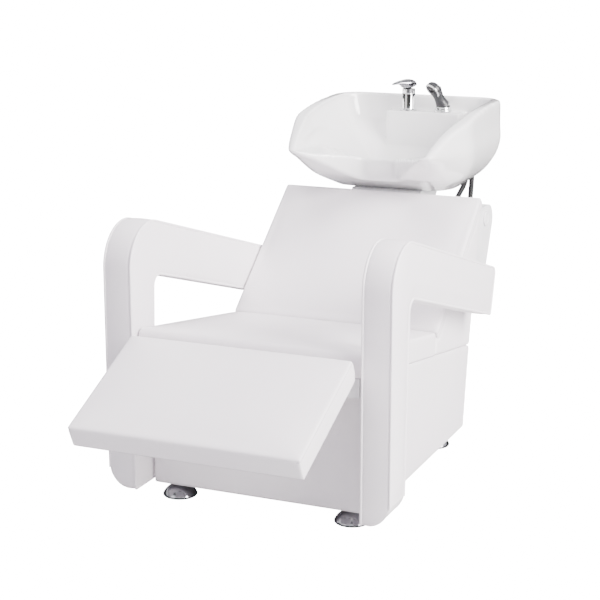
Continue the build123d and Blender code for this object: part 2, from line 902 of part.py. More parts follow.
with BuildPart() as rear_housing:
    extrude(housing_face(Plane.YZ.offset(-housing_half_width), 0, 0), amount=2 * housing_half_width)
    extrude(
        housing_face(Plane.YZ.offset(housing_wall - housing_half_width), housing_wall, overrun),
        amount=2 * (housing_half_width - housing_wall),
        mode=Mode.SUBTRACT,
    )
    with BuildSketch(Plane.XY.offset(housing_roof_z + overrun)):
        with Locations((0, (slot_front_y + slot_rear_y) / 2)):
            Rectangle(2 * slot_half_width, slot_rear_y - slot_front_y)
    extrude(amount=-2 * overrun, mode=Mode.SUBTRACT)
    with BuildSketch(Plane.YZ.offset(-housing_half_width - overrun)):
        with Locations((axle_y, axle_middle_z)):
            Circle(axle_radius + axle_hole_gap)
    extrude(amount=2 * (housing_half_width + overrun), mode=Mode.SUBTRACT)
    for x, depth, z in (supply_points[3], second_points[3]):
        with BuildSketch(Plane.XZ.offset(-rear_y - grommet_rear_depth - overrun)):
            with Locations((x, rear_z + supply_points[4][2])):
                Circle(hose_radius + touch_gap + grommet_wall)
        extrude(amount=2 * overrun, mode=Mode.SUBTRACT)
rear_housing.part.label = "rear_housing"
export_step(rear_housing.part, "parts/rear_housing.step")

with BuildPart() as grommets:
    with BuildSketch(Plane.XZ.offset(-rear_y - grommet_rear_depth)):
        with Locations(*[(points[4][0], rear_z + points[4][2]) for points in (supply_points, second_points)]):
            Circle(hose_radius + touch_gap + grommet_wall)
            Circle(hose_radius + touch_gap, mode=Mode.SUBTRACT)
    extrude(amount=grommet_rear_depth - grommet_front_depth)
grommets.part.label = "grommets"
export_step(grommets.part, "parts/grommets.step")

# Uprights: two flanged plates on the rear of the wedge that hold the ends of the axle
with BuildPart() as upright:
    with BuildSketch(Plane.YZ.offset(upright_x - upright_thickness / 2)):
        Polygon(
            (wedge_rear_y(upright_low_z), upright_low_z),
            (wedge_rear_y(axle_middle_z + upright_end_radius), axle_middle_z + upright_end_radius),
            (axle_y, axle_middle_z + upright_end_radius),
            (axle_y, axle_middle_z - upright_end_radius),
            align=None,
        )
        with Locations((axle_y, axle_middle_z)):
            Circle(upright_end_radius)
            Circle(axle_radius, mode=Mode.SUBTRACT)
    extrude(amount=upright_thickness)
    with BuildSketch(Plane.YZ.offset(upright_x - upright_flange)):
        Polygon(
            (wedge_rear_y(upright_low_z), upright_low_z),
            (wedge_rear_y(axle_middle_z + upright_end_radius), axle_middle_z + upright_end_radius),
            (wedge_rear_y(axle_middle_z + upright_end_radius) + upright_thickness, axle_middle_z + upright_end_radius),
            (wedge_rear_y(upright_low_z) + upright_thickness, upright_low_z),
            align=None,
        )
    extrude(amount=upright_flange)

with BuildPart() as tilt_uprights:
    add(upright.part)
    add(mirror(upright.part, about=Plane.YZ, mode=Mode.PRIVATE))
tilt_uprights.part.label = "tilt_uprights"
export_step(tilt_uprights.part, "parts/tilt_uprights.step")

with BuildPart() as tilt_axle:
    with BuildSketch(Plane.YZ.offset(-housing_half_width)):
        with Locations((axle_y, axle_middle_z)):
            Circle(axle_radius)
    extrude(amount=2 * housing_half_width)
tilt_axle.part.label = "tilt_axle"
export_step(tilt_axle.part, "parts/tilt_axle.step")

with BuildPart() as axle_caps:
    for side in (-1, 1):
        with BuildSketch(Plane.YZ.offset(side * housing_half_width)):
            with Locations((axle_y, axle_middle_z)):
                Circle(cap_radius)
        extrude(amount=side * cap_height)
axle_caps.part.label = "axle_caps"
export_step(axle_caps.part, "parts/axle_caps.step")

# Cradle: two ears on the axle under the plate that carries the basin
cradle_bore = axle_radius + axle_running_gap
with BuildPart() as cradle:
    with BuildSketch(Plane.XY.offset(cradle_low_z)):
        with Locations((0, axle_y)):
            Rectangle(2 * cradle_x + cradle_thickness, 2 * cradle_half_depth)
        with Locations((0, rear_y + drain_depth)):
            Circle(cradle_hole_radius, mode=Mode.SUBTRACT)
    extrude(amount=cradle_thickness)
    for side in (-1, 1):
        with BuildSketch(Plane.YZ.offset(side * cradle_x - cradle_thickness / 2)):
            Polygon(
                (axle_y - cradle_half_depth, cradle_low_z),
                (axle_y - cradle_half_depth, ear_shoulder_z),
                (axle_y - cradle_waist, axle_middle_z),
                (axle_y + cradle_waist, axle_middle_z),
                (axle_y + cradle_half_depth, ear_shoulder_z),
                (axle_y + cradle_half_depth, cradle_low_z),
                align=None,
            )
            with Locations((axle_y, axle_middle_z)):
                Circle(cradle_ear_radius)
                Circle(cradle_bore, mode=Mode.SUBTRACT)
        extrude(amount=cradle_thickness)
        with BuildSketch(Plane.YZ.offset(side * (cradle_x - cradle_thickness / 2))):
            with Locations((axle_y, axle_middle_z)):
                Circle(cradle_collar_radius)
                Circle(cradle_bore, mode=Mode.SUBTRACT)
        extrude(amount=-side * cradle_collar)
cradle.part.label = "cradle"
export_step(cradle.part, "parts/cradle.step")


# Basin: a double-walled bowl, notched in front for the neck and with a raised deck behind
def basin_section(row):
    """The level outline of the basin or its bowl at one height."""
    level, front_x, front, side_x, side, back_x, back, front_radius, side_radius, back_radius = row
    corners = [
        (front_x, rear_y + front),
        (side_x, rear_y + side),
        (back_x, rear_y + back),
    ]
    left = [(-x, y) for x, y in reversed(corners)]
    with BuildSketch(Plane.XY.offset(level)) as outline:
        Polygon(*corners, *left, align=None)
        for (x, y), radius in zip(corners, (front_radius, side_radius, back_radius)):
            pair = [outline.vertices().sort_by_distance(Vector(end, y, 0))[0] for end in (x, -x)]
            fillet(pair, radius)
    return outline.sketch.faces()[0]


def eased_rows(rows):
    """More rows between the given ones, on curves that never run past them."""
    slopes = []
    for column in range(1, len(rows[0])):
        steps = [
            (after[column] - before[column]) / (after[0] - before[0])
            for before, after in zip(rows, rows[1:])
        ]
        inner = [
            2 * low * high / (low + high) if low * high > 0 else 0
            for low, high in zip(steps, steps[1:])
        ]
        slopes.append([steps[0], *inner, steps[-1]])
    eased = []
    for index, (before, after) in enumerate(zip(rows, rows[1:])):
        rise = after[0] - before[0]
        count = max(1, round(rise / basin_row_step))
        for part in range(count):
            share = part / count
            row = [before[0] + share * rise]
            for column, slope in enumerate(slopes, start=1):
                start_slope, end_slope = slope[index] * rise, slope[index + 1] * rise
                gap = after[column] - before[column]
                bend = share * (share - 1)
                row.append(
                    before[column]
                    + gap * share * share * (3 - 2 * share)
                    + bend * ((share - 1) * start_slope + share * end_slope)
                )
            eased.append(row)
    return eased + [list(rows[-1])]


def basin_loft(rows):
    return loft([basin_section(row) for row in eased_rows(rows)], ruled=True)


with BuildPart() as bowl_space:
    basin_loft(bowl_levels)
    with BuildSketch(Plane.XY.offset(deck_top_z)):
        with Locations(((deck_left_x + deck_right_x) / 2, rear_y + deck_front_depth + overrun)):
            RectangleRounded(deck_right_x - deck_left_x, 2 * overrun, deck_radius)
    extrude(amount=bowl_levels[0][0] - deck_top_z, mode=Mode.SUBTRACT)

with BuildPart() as basin:
    basin_loft(basin_levels)
    with BuildSketch(Plane.YZ.offset(-half_width)):
        with BuildLine():
            Spline(*rim_places)
            Polyline(
                rim_places[-1],
                (rim_places[-1][0], rim_places[-1][1] + 2 * overrun),
                (rim_places[0][0], rim_places[-1][1] + 2 * overrun),
                rim_places[0],
            )
        make_face()
    extrude(amount=2 * half_width, mode=Mode.SUBTRACT)
    add(bowl_space.part, mode=Mode.SUBTRACT)
    with BuildSketch(Plane.XY.offset(basin_levels[0][0] - overrun)) as notch:
        mouth_reach = notch_depth - notch_mouth_depth
        mouth_half_width = notch_half_width + mouth_reach * notch_spread / notch_reach
        notch_y = rear_y + notch_depth
        Polygon(
            (notch_half_width, notch_y),
            (-notch_half_width, notch_y),
            (-mouth_half_width, notch_y - mouth_reach),
            (mouth_half_width, notch_y - mouth_reach),
            align=None,
        )
        for x in (-notch_half_width, notch_half_width):
            fillet(notch.vertices().sort_by_distance(Vector(x, notch_y, 0))[0], notch_radius)
    extrude(amount=rim_places[-1][1] - basin_levels[0][0] + 2 * overrun, mode=Mode.SUBTRACT)
    for room_top_z, room_right_x in (
        (deck_top_z - deck_roof, tap_room_right_x),
        ((rear_z + hose_room_top_z), hose_room_right_x),
    ):
        room_middle_x = (tap_room_left_x + room_right_x) / 2
        with BuildSketch(Plane.XY.offset(room_top_z)):
            with Locations((room_middle_x, rear_y + (tap_room_front_depth + tap_room_rear_depth) / 2)):
                RectangleRounded(
                    room_right_x - tap_room_left_x,
                    tap_room_rear_depth - tap_room_front_depth,
                    deck_radius,
                )
        extrude(amount=basin_levels[0][0] - overrun - room_top_z, mode=Mode.SUBTRACT)
    with BuildSketch(Plane.XY.offset(deck_top_z - deck_roof)):
        with Locations((mixer_x, rear_y + tap_depth)):
            Circle(mixer_shank_radius + tap_hole_gap)
        with Locations((shower_x, rear_y + tap_depth)):
            Circle(shower_shank_radius + tap_hole_gap)
    extrude(amount=deck_roof, mode=Mode.SUBTRACT)
    with BuildSketch(Plane.XY.offset(basin_levels[0][0])):
        with Locations((0, rear_y + drain_depth)):
            Circle(drain_hole_radius)
    extrude(amount=bowl_levels[0][0] - basin_levels[0][0], mode=Mode.SUBTRACT)
basin.part.label = "basin"
export_step(basin.part, "parts/basin.step")


# Drain: a pierced strainer screwed through the floor into a cup with a barb for the hose
drain_y = rear_y + drain_depth
floor_z = bowl_levels[0][0]
cup_top_z = basin_levels[0][0]
cup_low_z = cup_top_z - cup_height

with BuildPart() as drain_strainer:
    with BuildSketch(Plane.XY.offset(floor_z)):
        with Locations((0, drain_y)):
            Circle(strainer_radius)
    extrude(amount=strainer_height)
    with BuildSketch(Plane.XY.offset(floor_z)):
        with Locations((0, drain_y)):
            Circle(strainer_tube_radius)
    extrude(amount=cup_low_z + cup_flange_height - floor_z)
    with BuildSketch(Plane.XY.offset(floor_z)):
        with Locations((0, drain_y)):
            Circle(strainer_tube_bore)
    extrude(amount=cup_low_z - floor_z, mode=Mode.SUBTRACT)
    with BuildSketch(Plane.XY.offset(floor_z)):
        with Locations((0, drain_y)):
            with PolarLocations(strainer_ring_radius, strainer_holes):
                Circle(strainer_hole_radius)
            Circle(strainer_hole_radius)
    extrude(amount=strainer_height, mode=Mode.SUBTRACT)
drain_strainer.part.label = "drain_strainer"
export_step(drain_strainer.part, "parts/drain_strainer.step")

with BuildPart() as drain_cup:
    for level, radius, depth, mode in (
        (cup_top_z, cup_flange_radius, cup_flange_height, Mode.ADD),
        (cup_top_z, cup_radius, cup_height, Mode.ADD),
        (cup_low_z, cup_barb_radius, cup_barb_length, Mode.ADD),
        (cup_top_z, strainer_tube_radius, cup_height - cup_flange_height, Mode.SUBTRACT),
        (cup_top_z, cup_barb_bore, cup_height + cup_barb_length, Mode.SUBTRACT),
    ):
        with BuildSketch(Plane.XY.offset(level)):
            with Locations((0, drain_y)):
                Circle(radius)
        extrude(amount=-depth, mode=mode)
drain_cup.part.label = "drain_cup"
export_step(drain_cup.part, "parts/drain_cup.step")


# Hoses: straight runs joined by round bends, each as wide as its runs allow
def placed(points):
    return [Vector(x, rear_y + depth, rear_z + z) for x, depth, z in points]


def hose_path(points):
    """The middle line of a hose through the points, with its bends rounded off."""
    corners = placed(points)
    pieces = []
    start = corners[0]
    for before, corner, after in zip(corners, corners[1:], corners[2:]):
        inward = (corner - before).normalized()
        outward = (after - corner).normalized()
        reach = bend_share * min((corner - before).length, (after - corner).length)
        arc_start = corner - inward * reach
        arc_end = corner + outward * reach
        half_turn = math.radians(inward.get_angle(outward)) / 2
        radius = reach / math.tan(half_turn)
        to_centre = (outward - inward).normalized()
        middle = corner + to_centre * radius * (1 / math.cos(half_turn) - 1)
        pieces.append(Edge.make_line(start, arc_start))
        pieces.append(Edge.make_three_point_arc(arc_start, middle, arc_end))
        start = arc_end
        print("bend radius", round(radius, 1))
    pieces.append(Edge.make_line(start, corners[-1]))
    return Wire(pieces)


def hose(points, radius, bore):
    """A round tube along the points."""
    path = hose_path(points)
    first, second = placed(points)[:2]
    with BuildPart() as tube:
        with BuildSketch(Plane(origin=first, z_dir=second - first)):
            Circle(radius)
            Circle(bore, mode=Mode.SUBTRACT)
        sweep(path=path)
    return tube.part


with BuildPart() as waste_hose:
    add(hose(waste_points, waste_hose_radius, cup_barb_radius))
waste_hose.part.label = "waste_hose"
export_step(waste_hose.part, "parts/waste_hose.step")

with BuildPart() as supply_hoses:
    add(hose(supply_points, hose_radius, hose_bore))
    add(hose(second_points, hose_radius, hose_bore))
supply_hoses.part.label = "supply_hoses"
export_step(supply_hoses.part, "parts/supply_hoses.step")

# Unions: hexagon nuts on the lower ends of the supply hoses
with BuildPart() as hose_unions:
    for x, depth, z in (supply_points[-1], second_points[-1]):
        with BuildSketch(Plane.XY.offset(rear_z + z)):
            with Locations((x, rear_y + depth)):
                RegularPolygon(hose_union_radius, 6)
                Circle(hose_bore, mode=Mode.SUBTRACT)
        extrude(amount=-hose_union_length)
hose_unions.part.label = "hose_unions"
export_step(hose_unions.part, "parts/hose_unions.step")

# Mixer: a fixed body on the deck under a cap that turns and a lever that lifts
tap_y = rear_y + tap_depth
body_top_z = deck_top_z + mixer_height
cap_z = body_top_z + cap_gap
cap_top_z = cap_z + swivel_height
lever_pin_z = cap_top_z + tongue_radius
lever_towards = (-degrees_sin(mixer_turn), -degrees_cos(mixer_turn), 0)
lever_side = (-degrees_cos(mixer_turn), degrees_sin(mixer_turn), 0)
room_roof_z = deck_top_z - deck_roof


def mixer_plane(height):
    """A level plane on the middle of the mixer, its x axis along the lever."""
    return Plane(origin=(mixer_x, tap_y, height), x_dir=lever_towards, z_dir=(0, 0, 1))


def lever_plane(shift):
    """An upright plane along the lever, moved sideways by the shift."""
    middle = Vector(mixer_x, tap_y, lever_pin_z) + Vector(*lever_side) * shift
    return Plane(origin=middle, x_dir=lever_towards, z_dir=lever_side)


def mark_plane():
    """The plane of the mark on the mixer's front, under the lever."""
    out = Vector(*lever_towards)
    middle = Vector(mixer_x, tap_y, body_top_z - mark_drop) + out * (mixer_radius - mark_depth)
    return Plane(origin=middle, x_dir=lever_side, z_dir=lever_towards)


with BuildPart() as mixer_body:
    for level, radius, height in (
        (deck_top_z, mixer_flange_radius, mixer_flange_height),
        (deck_top_z, mixer_radius, mixer_height),
        (deck_top_z, mixer_shank_radius, -mixer_shank_length),
    ):
        with BuildSketch(Plane.XY.offset(level)):
            with Locations((mixer_x, tap_y)):
                Circle(radius)
        extrude(amount=height)
    with BuildSketch(Plane.XY.offset(body_top_z)):
        with Locations((mixer_x, tap_y)):
            Circle(spindle_radius + spindle_gap)
    extrude(amount=-spindle_depth - cap_gap, mode=Mode.SUBTRACT)
    with BuildSketch(mark_plane()):
        Ellipse(mark_half_width, mark_half_height)
    extrude(amount=2 * mark_depth, mode=Mode.SUBTRACT)
mixer_body.part.label = "mixer_body"
export_step(mixer_body.part, "parts/mixer_body.step")

with BuildPart() as mixer_mark:
    with BuildSketch(mark_plane()):
        Ellipse(mark_half_width, mark_half_height)
    extrude(amount=mark_depth)
mixer_mark.part.label = "mixer_mark"
export_step(mixer_mark.part, "parts/mixer_mark.step")

with BuildPart() as mixer_cap:
    with BuildSketch(mixer_plane(cap_z)):
        Circle(swivel_radius)
    extrude(amount=swivel_height)
    with BuildSketch(mixer_plane(cap_z)):
        Circle(spindle_radius)
    extrude(amount=-spindle_depth)
    with BuildSketch(lever_plane(-tongue_width / 2)):
        Circle(tongue_radius)
        with Locations((0, -tongue_radius / 2)):
            Rectangle(2 * tongue_radius, tongue_radius)
        Circle(lever_pin_radius, mode=Mode.SUBTRACT)
    extrude(amount=tongue_width)
mixer_cap.part.label = "mixer_cap"
export_step(mixer_cap.part, "parts/mixer_cap.step")

with BuildPart() as lever_pin:
    with BuildSketch(lever_plane(-lever_width / 2)):
        Circle(lever_pin_radius)
    extrude(amount=lever_width)
lever_pin.part.label = "lever_pin"
export_step(lever_pin.part, "parts/lever_pin.step")

lever_barrel = tongue_radius - tongue_gap
with BuildPart() as mixer_lever:
    with BuildSketch(lever_plane(-lever_width / 2)):
        Circle(lever_barrel)
        Polygon(
            (0, -lever_barrel),
            (0, lever_barrel),
            (lever_reach, lever_rise + lever_tip_radius),
            (lever_reach, lever_rise - lever_tip_radius),
            align=None,
        )
    extrude(amount=lever_width)
    tip_edges = mixer_lever.edges().sort_by_distance(
        Vector(mixer_x, tap_y, lever_pin_z + lever_rise) + Vector(*lever_towards) * lever_reach
    )
    upright_edges = [edge for edge in tip_edges if abs(edge.tangent_at(0).Z) > edge_upright_share]
    fillet(upright_edges[:2], lever_plan_radius)
    with BuildSketch(lever_plane(-tongue_width / 2 - tongue_gap)):
        Rectangle(2 * (tongue_radius + tongue_gap), 4 * tongue_radius)
    extrude(amount=tongue_width + 2 * tongue_gap, mode=Mode.SUBTRACT)
    with BuildSketch(lever_plane(-lever_width)):
        Circle(lever_pin_radius + lever_pin_gap)
    extrude(amount=2 * lever_width, mode=Mode.SUBTRACT)
mixer_lever.part.label = "mixer_lever"
export_step(mixer_lever.part, "parts/mixer_lever.step")

# Hand shower: a ring on the deck, and the handle with its head that lifts out of it
ring_top_z = deck_top_z + shower_ring_height
with BuildPart() as shower_ring:
    for radius, height in (
        (shower_ring_radius, shower_ring_height),
        (shower_shank_radius, -shower_shank_length),
    ):
        with BuildSketch(Plane.XY.offset(deck_top_z)):
            with Locations((shower_x, tap_y)):
                Circle(radius)
        extrude(amount=height)
    with BuildSketch(Plane.XY.offset(ring_top_z)):
        with Locations((shower_x, tap_y)):
            Circle(shower_stub_radius + shower_stub_gap)
    extrude(amount=-shower_ring_height - shower_shank_length, mode=Mode.SUBTRACT)
shower_ring.part.label = "shower_ring"
export_step(shower_ring.part, "parts/shower_ring.step")

with BuildPart() as tap_nuts:
    for x, shank_radius in ((mixer_x, mixer_shank_radius), (shower_x, shower_shank_radius)):
        with BuildSketch(Plane.XY.offset(room_roof_z)):
            with Locations((x, tap_y)):
                RegularPolygon(tap_nut_radius, 6)
                Circle(shank_radius, mode=Mode.SUBTRACT)
        extrude(amount=-tap_nut_height)
tap_nuts.part.label = "tap_nuts"
export_step(tap_nuts.part, "parts/tap_nuts.step")

handle_out = Vector(
    -degrees_sin(shower_lean) * degrees_sin(shower_turn),
    -degrees_sin(shower_lean) * degrees_cos(shower_turn),
    degrees_cos(shower_lean),
)
handle_start = Vector(shower_x, tap_y, ring_top_z)
handle_end = handle_start + handle_out * shower_handle_length
face_out = Vector(-degrees_sin(shower_turn), -degrees_cos(shower_turn), 0)


def disc(plane, radius):
    with BuildSketch(plane) as outline:
        Circle(radius)
    return outline.sketch.faces()[0]


with BuildPart() as shower_handle:
    with BuildSketch(Plane.XY.offset(ring_top_z)):
        with Locations((shower_x, tap_y)):
            Circle(shower_collar_radius)
    extrude(amount=shower_collar_height)
    with BuildSketch(Plane.XY.offset(ring_top_z)):
        with Locations((shower_x, tap_y)):
            Circle(shower_stub_radius)
    extrude(amount=-shower_stub_length)
    loft(
        [
            disc(Plane(origin=handle_start, z_dir=(0, 0, 1)), shower_stub_radius),
            disc(Plane(origin=handle_end, z_dir=handle_out), shower_handle_tip_radius),
        ]
    )
    with BuildSketch(Plane(origin=handle_end - face_out * shower_head_depth / 2, z_dir=face_out)):
        Circle(shower_head_radius)
    extrude(amount=shower_head_depth)
    with BuildSketch(Plane(origin=handle_end + face_out * shower_head_depth / 2, z_dir=face_out)):
        Circle(shower_head_radius - shower_face_inset)
    extrude(amount=-shower_face_inset, mode=Mode.SUBTRACT)
shower_handle.part.label = "shower_handle"
export_step(shower_handle.part, "parts/shower_handle.step")

with BuildPart() as shower_face:
    with BuildSketch(
        Plane(origin=handle_end + face_out * (shower_head_depth / 2 - shower_face_inset), z_dir=face_out)
    ):
        Circle(shower_head_radius - shower_face_inset)
    extrude(amount=shower_face_inset)
shower_face.part.label = "shower_face"
export_step(shower_face.part, "parts/shower_face.step")

with BuildPart() as shower_hose:
    with BuildSketch(Plane.XY.offset(ring_top_z - shower_stub_length)):
        with Locations((shower_x, tap_y)):
            Circle(shower_hose_radius)
    extrude(amount=-shower_hose_length)
shower_hose.part.label = "shower_hose"
export_step(shower_hose.part, "parts/shower_hose.step")
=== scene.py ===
"""Looks of a hair washing bed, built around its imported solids."""

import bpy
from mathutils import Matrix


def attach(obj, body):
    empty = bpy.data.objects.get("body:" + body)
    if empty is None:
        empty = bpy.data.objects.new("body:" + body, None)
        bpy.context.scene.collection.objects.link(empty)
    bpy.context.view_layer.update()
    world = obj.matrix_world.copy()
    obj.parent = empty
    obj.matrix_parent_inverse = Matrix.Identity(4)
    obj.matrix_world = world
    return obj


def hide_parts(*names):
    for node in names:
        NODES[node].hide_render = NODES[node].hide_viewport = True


bl_info = {
    "name": "Hair washing bed",
    "version": (1, 0, 0),
    "blender": (4, 5, 0),
    "location": "View3D > Sidebar > Washing bed",
    "description": "Builds the covers, basin, taps and finishes of a salon washing bed around its frame",
    "category": "Object",
}

from math import copysign, cos, pi, radians, sin, tan

import bmesh
import bpy
import numpy as np
from bpy.props import FloatProperty, FloatVectorProperty, IntProperty, PointerProperty
from bpy.types import Operator, Panel, PropertyGroup
from mathutils import Matrix, Vector

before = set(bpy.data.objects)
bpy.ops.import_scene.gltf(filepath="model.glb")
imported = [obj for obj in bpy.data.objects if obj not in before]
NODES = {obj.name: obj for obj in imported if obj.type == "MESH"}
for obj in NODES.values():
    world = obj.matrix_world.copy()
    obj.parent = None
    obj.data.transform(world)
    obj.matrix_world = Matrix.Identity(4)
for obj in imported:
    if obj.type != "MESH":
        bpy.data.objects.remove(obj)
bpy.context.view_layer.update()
FINISH = {}
UP = Vector((0, 0, 1))
MM = 0.001

# Places repeated from the part's source, in metres; depths there count from the front of the arms
ARM_FRONT = -0.4367
ARM_LOW = 0.0375
FOOT_ROUND = 0.062
HALF_INNER = 0.269
HALF_WIDTH = 0.340
ARM_SLOPE = radians(16.35)
SEAM_SLOPE = radians(8.8)
BACK_ANGLE = radians(39.1)
LEG_ANGLE = radians(24.9)
WEDGE_HEEL = (0.0923063, 0.3153986)
WEDGE_PEAK = (0.4187073, 0.5806575)
DECK = 0.785
TAP_DEPTH = 1.118
TAP_TURN = radians(35)

# Covers end this far inside their solids, a skin without a seam counts as this far from one,
# and turned metal shades smooth up to this angle
CLEAR = 0.0012
NO_SEAM = 0.05
SHARP = radians(40)


def deep(depth):
    """A depth from the front of the arms as a place in the frame."""
    return ARM_FRONT + depth


def seam_height(y):
    """Height of the seam between the base and what stands on it."""
    return 0.3603 - (y - ARM_FRONT) * tan(SEAM_SLOPE)


MIXER = (-0.026, deep(TAP_DEPTH))
SHOWER = (0.073, deep(TAP_DEPTH))
TOWARDS = Vector((-sin(TAP_TURN), -cos(TAP_TURN), 0))


# Objects and meshes


def linked(name, mesh):
    obj = bpy.data.objects.new(name, mesh)
    bpy.context.scene.collection.objects.link(obj)
    return obj


def evaluated(holder):
    """The holder's mesh after its modifiers; the holder goes."""
    graph = bpy.context.evaluated_depsgraph_get()
    result = bpy.data.meshes.new_from_object(holder.evaluated_get(graph), depsgraph=graph)
    bpy.data.objects.remove(holder)
    return result


def finished(name, mesh, material, body, replaces=(), sharp=None):
    """Links the mesh as a piece, smooth up to the sharp angle, gives it its finish and lets it ride on its body."""
    mesh.name = name
    mesh.materials.clear()
    mesh.materials.append(FINISH[material])
    mesh.polygons.foreach_set("use_smooth", [True] * len(mesh.polygons))
    obj = linked(name, mesh)
    if replaces:
        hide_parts(*replaces)
    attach(obj, body)
    if sharp is not None:
        mesh.set_sharp_from_angle(angle=sharp)
    return obj


def welded(mesh, distance):
    """The mesh with its doubles merged and its faces outwards."""
    fixed = bmesh.new()
    fixed.from_mesh(mesh)
    bmesh.ops.remove_doubles(fixed, verts=fixed.verts, dist=distance)
    bmesh.ops.recalc_face_normals(fixed, faces=fixed.faces)
    fixed.to_mesh(mesh)
    fixed.free()
    return mesh


def mesh_from(points, faces):
    mesh = bpy.data.meshes.new("shape")
    mesh.from_pydata([tuple(p) for p in points], [], faces)
    return welded(mesh, 1e-6)


def through_modifiers(mesh, *settings, weights=None):
    """The mesh after the given modifiers, each a type and its values; weights fill the group named soft."""
    holder = linked("holder", mesh)
    if weights is not None:
        group = holder.vertex_groups.new(name="soft")
        for index in np.nonzero(weights > 0.01)[0]:
            group.add([int(index)], float(weights[index]), "REPLACE")
    for kind, values in settings:
        modifier = holder.modifiers.new(kind, kind)
        for key, value in values.items():
            setattr(modifier, key, value)
    return evaluated(holder)


def voxelled(mesh, size, rounds):
    """An even mesh over the same shape, its edges eased."""
    return through_modifiers(
        mesh,
        ("REMESH", {"mode": "VOXEL", "voxel_size": size, "adaptivity": 0.0}),
        ("SMOOTH", {"factor": 0.5, "iterations": rounds}),
    )


def cut_by(mesh, cutter_mesh):
    """The mesh less the cutter."""
    cutter = linked("cutter", cutter_mesh)
    result = through_modifiers(mesh, ("BOOLEAN", {"operation": "DIFFERENCE", "object": cutter, "solver": "EXACT"}))
    bpy.data.objects.remove(cutter)
    return result


def vectors(items, field):
    flat = np.zeros(len(items) * 3)
    items.foreach_get(field, flat)
    return flat.reshape(-1, 3)


def places(mesh):
    return vectors(mesh.vertices, "co")


def outward(mesh):
    return vectors(mesh.vertex_normals, "vector")


def put(mesh, points):
    mesh.vertices.foreach_set("co", np.asarray(points, float).ravel())
    mesh.update()


def mark_seam_shade(mesh, distance):
    """Stores each point's distance to a seam, which the leather reads to paint shade along it."""
    attribute = mesh.attributes.get("seam") or mesh.attributes.new("seam", "FLOAT", "POINT")
    attribute.data.foreach_set("value", np.broadcast_to(distance, len(mesh.vertices)).astype(np.float32))


def eased(distance, width):
    share = np.clip(distance / width, 0, 1)
    return share * share * (3 - 2 * share)


def side_outline(corners, radii, step=0.006):
    """A closed outline in the plane of Y and Z, its corners rounded, with points at about even steps."""
    count = len(corners)
    outline = []
    for index, radius in enumerate(radii):
        corner = Vector(corners[index])
        before = (Vector(corners[index - 1]) - corner).normalized()
        after = (Vector(corners[(index + 1) % count]) - corner).normalized()
        half = before.angle(after) / 2
        if radius <= 0:
            outline.append(corner)
            continue
        reach = radius / tan(half)
        centre = corner + (before + after).normalized() * radius / sin(half)
        start = corner + before * reach - centre
        end = corner + after * reach - centre
        turn = start.angle_signed(end)
        pieces = max(3, int(abs(turn) * radius / step))
        for piece in range(pieces + 1):
            # angle_signed turns clockwise
            outline.append(centre + Matrix.Rotation(-turn * piece / pieces, 2) @ start)
    even = []
    for index, point in enumerate(outline):
        nearby = outline[(index + 1) % len(outline)]
        parts = max(1, int((nearby - point).length / step))
        even += [point.lerp(nearby, part / parts) for part in range(parts)]
    return [(p.x, p.y) for p in even]


def drawn_in(outline, inset):
    """The outline moved inwards."""
    points = np.array(outline)
    after = np.roll(points, -1, axis=0)
    run = after - np.roll(points, 1, axis=0)
    normal = np.stack([-run[:, 1], run[:, 0]], axis=1) / np.linalg.norm(run, axis=1, keepdims=True)
    if (points[:, 0] * after[:, 1] - after[:, 0] * points[:, 1]).sum() < 0:
        normal = -normal
    return points + normal * inset


def distance_to(points, outline):
    """Distance of each (y, z) to the closed outline."""
    start = np.array(outline)
    end = np.roll(start, -1, axis=0)
    best = np.full(len(points), 1e9)
    for a, b in zip(start, end):
        run = b - a
        length = max(run @ run, 1e-12)
        share = np.clip(((points - a) @ run) / length, 0, 1)
        gap = points - (a + share[:, None] * run)
        best = np.minimum(best, (gap * gap).sum(1))
    return np.sqrt(best)


def prism(outline, low_x, high_x):
    """A closed bar with the outline as its section."""
    count = len(outline)
    points = [(x, y, z) for x in (low_x, high_x) for y, z in outline]
    faces = [tuple(range(count)), tuple(range(2 * count - 1, count - 1, -1))]
    faces += [(k, (k + 1) % count, count + (k + 1) % count, count + k) for k in range(count)]
    return mesh_from(points, faces)


def even_turn(count):
    """Angles at even steps round a circle."""
    return [2 * pi * step / count for step in range(count)]


def skinned(rings):
    """Points and faces of a closed skin over rings of equally many points."""
    around = len(rings[0])
    points = [point for ring in rings for point in ring]
    last = len(points) - around
    faces = []
    for low in range(0, last, around):
        for step in range(around):
            after = (step + 1) % around
            faces.append((low + step, low + after, low + around + after, low + around + step))
    faces.append(tuple(range(around))[::-1])
    faces.append(tuple(range(last, last + around)))
    return points, faces


def turned(profile, place, axis=UP, around=64):
    """A turned body from (radius, height) in millimetres, closed at both ends, its axis through the place."""
    spin = UP.rotation_difference(Vector(axis)).to_matrix()
    rings = []
    for radius, height in MM * np.array(profile):
        ring = [(radius * cos(angle), radius * sin(angle), height) for angle in even_turn(around)]
        rings.append([spin @ Vector(p) + Vector(place) for p in ring])
    return skinned(rings)


def swept(path, sizes, square, heading=None):
    """A closed body along the path, each section a rounded rectangle of the given half width and height.

    With a heading, every section stands upright across it.
    """
    last = len(path) - 1
    rings = []
    for index, (spot, (wide, tall)) in enumerate(zip(path, sizes)):
        if heading is None:
            along = (path[min(index + 1, last)] - path[max(index - 1, 0)]).normalized()
            side = along.cross(UP).normalized()
            rise = side.cross(along).normalized()
        else:
            side, rise = UP.cross(heading), UP
        ring = []
        for angle in even_turn(32):
            c, s = cos(angle), sin(angle)
            across = copysign(abs(c) ** (2 / square), c) * wide
            over = copysign(abs(s) ** (2 / square), s) * tall
            ring.append(spot + side * across + rise * over)
        rings.append(ring)
    return skinned(rings)


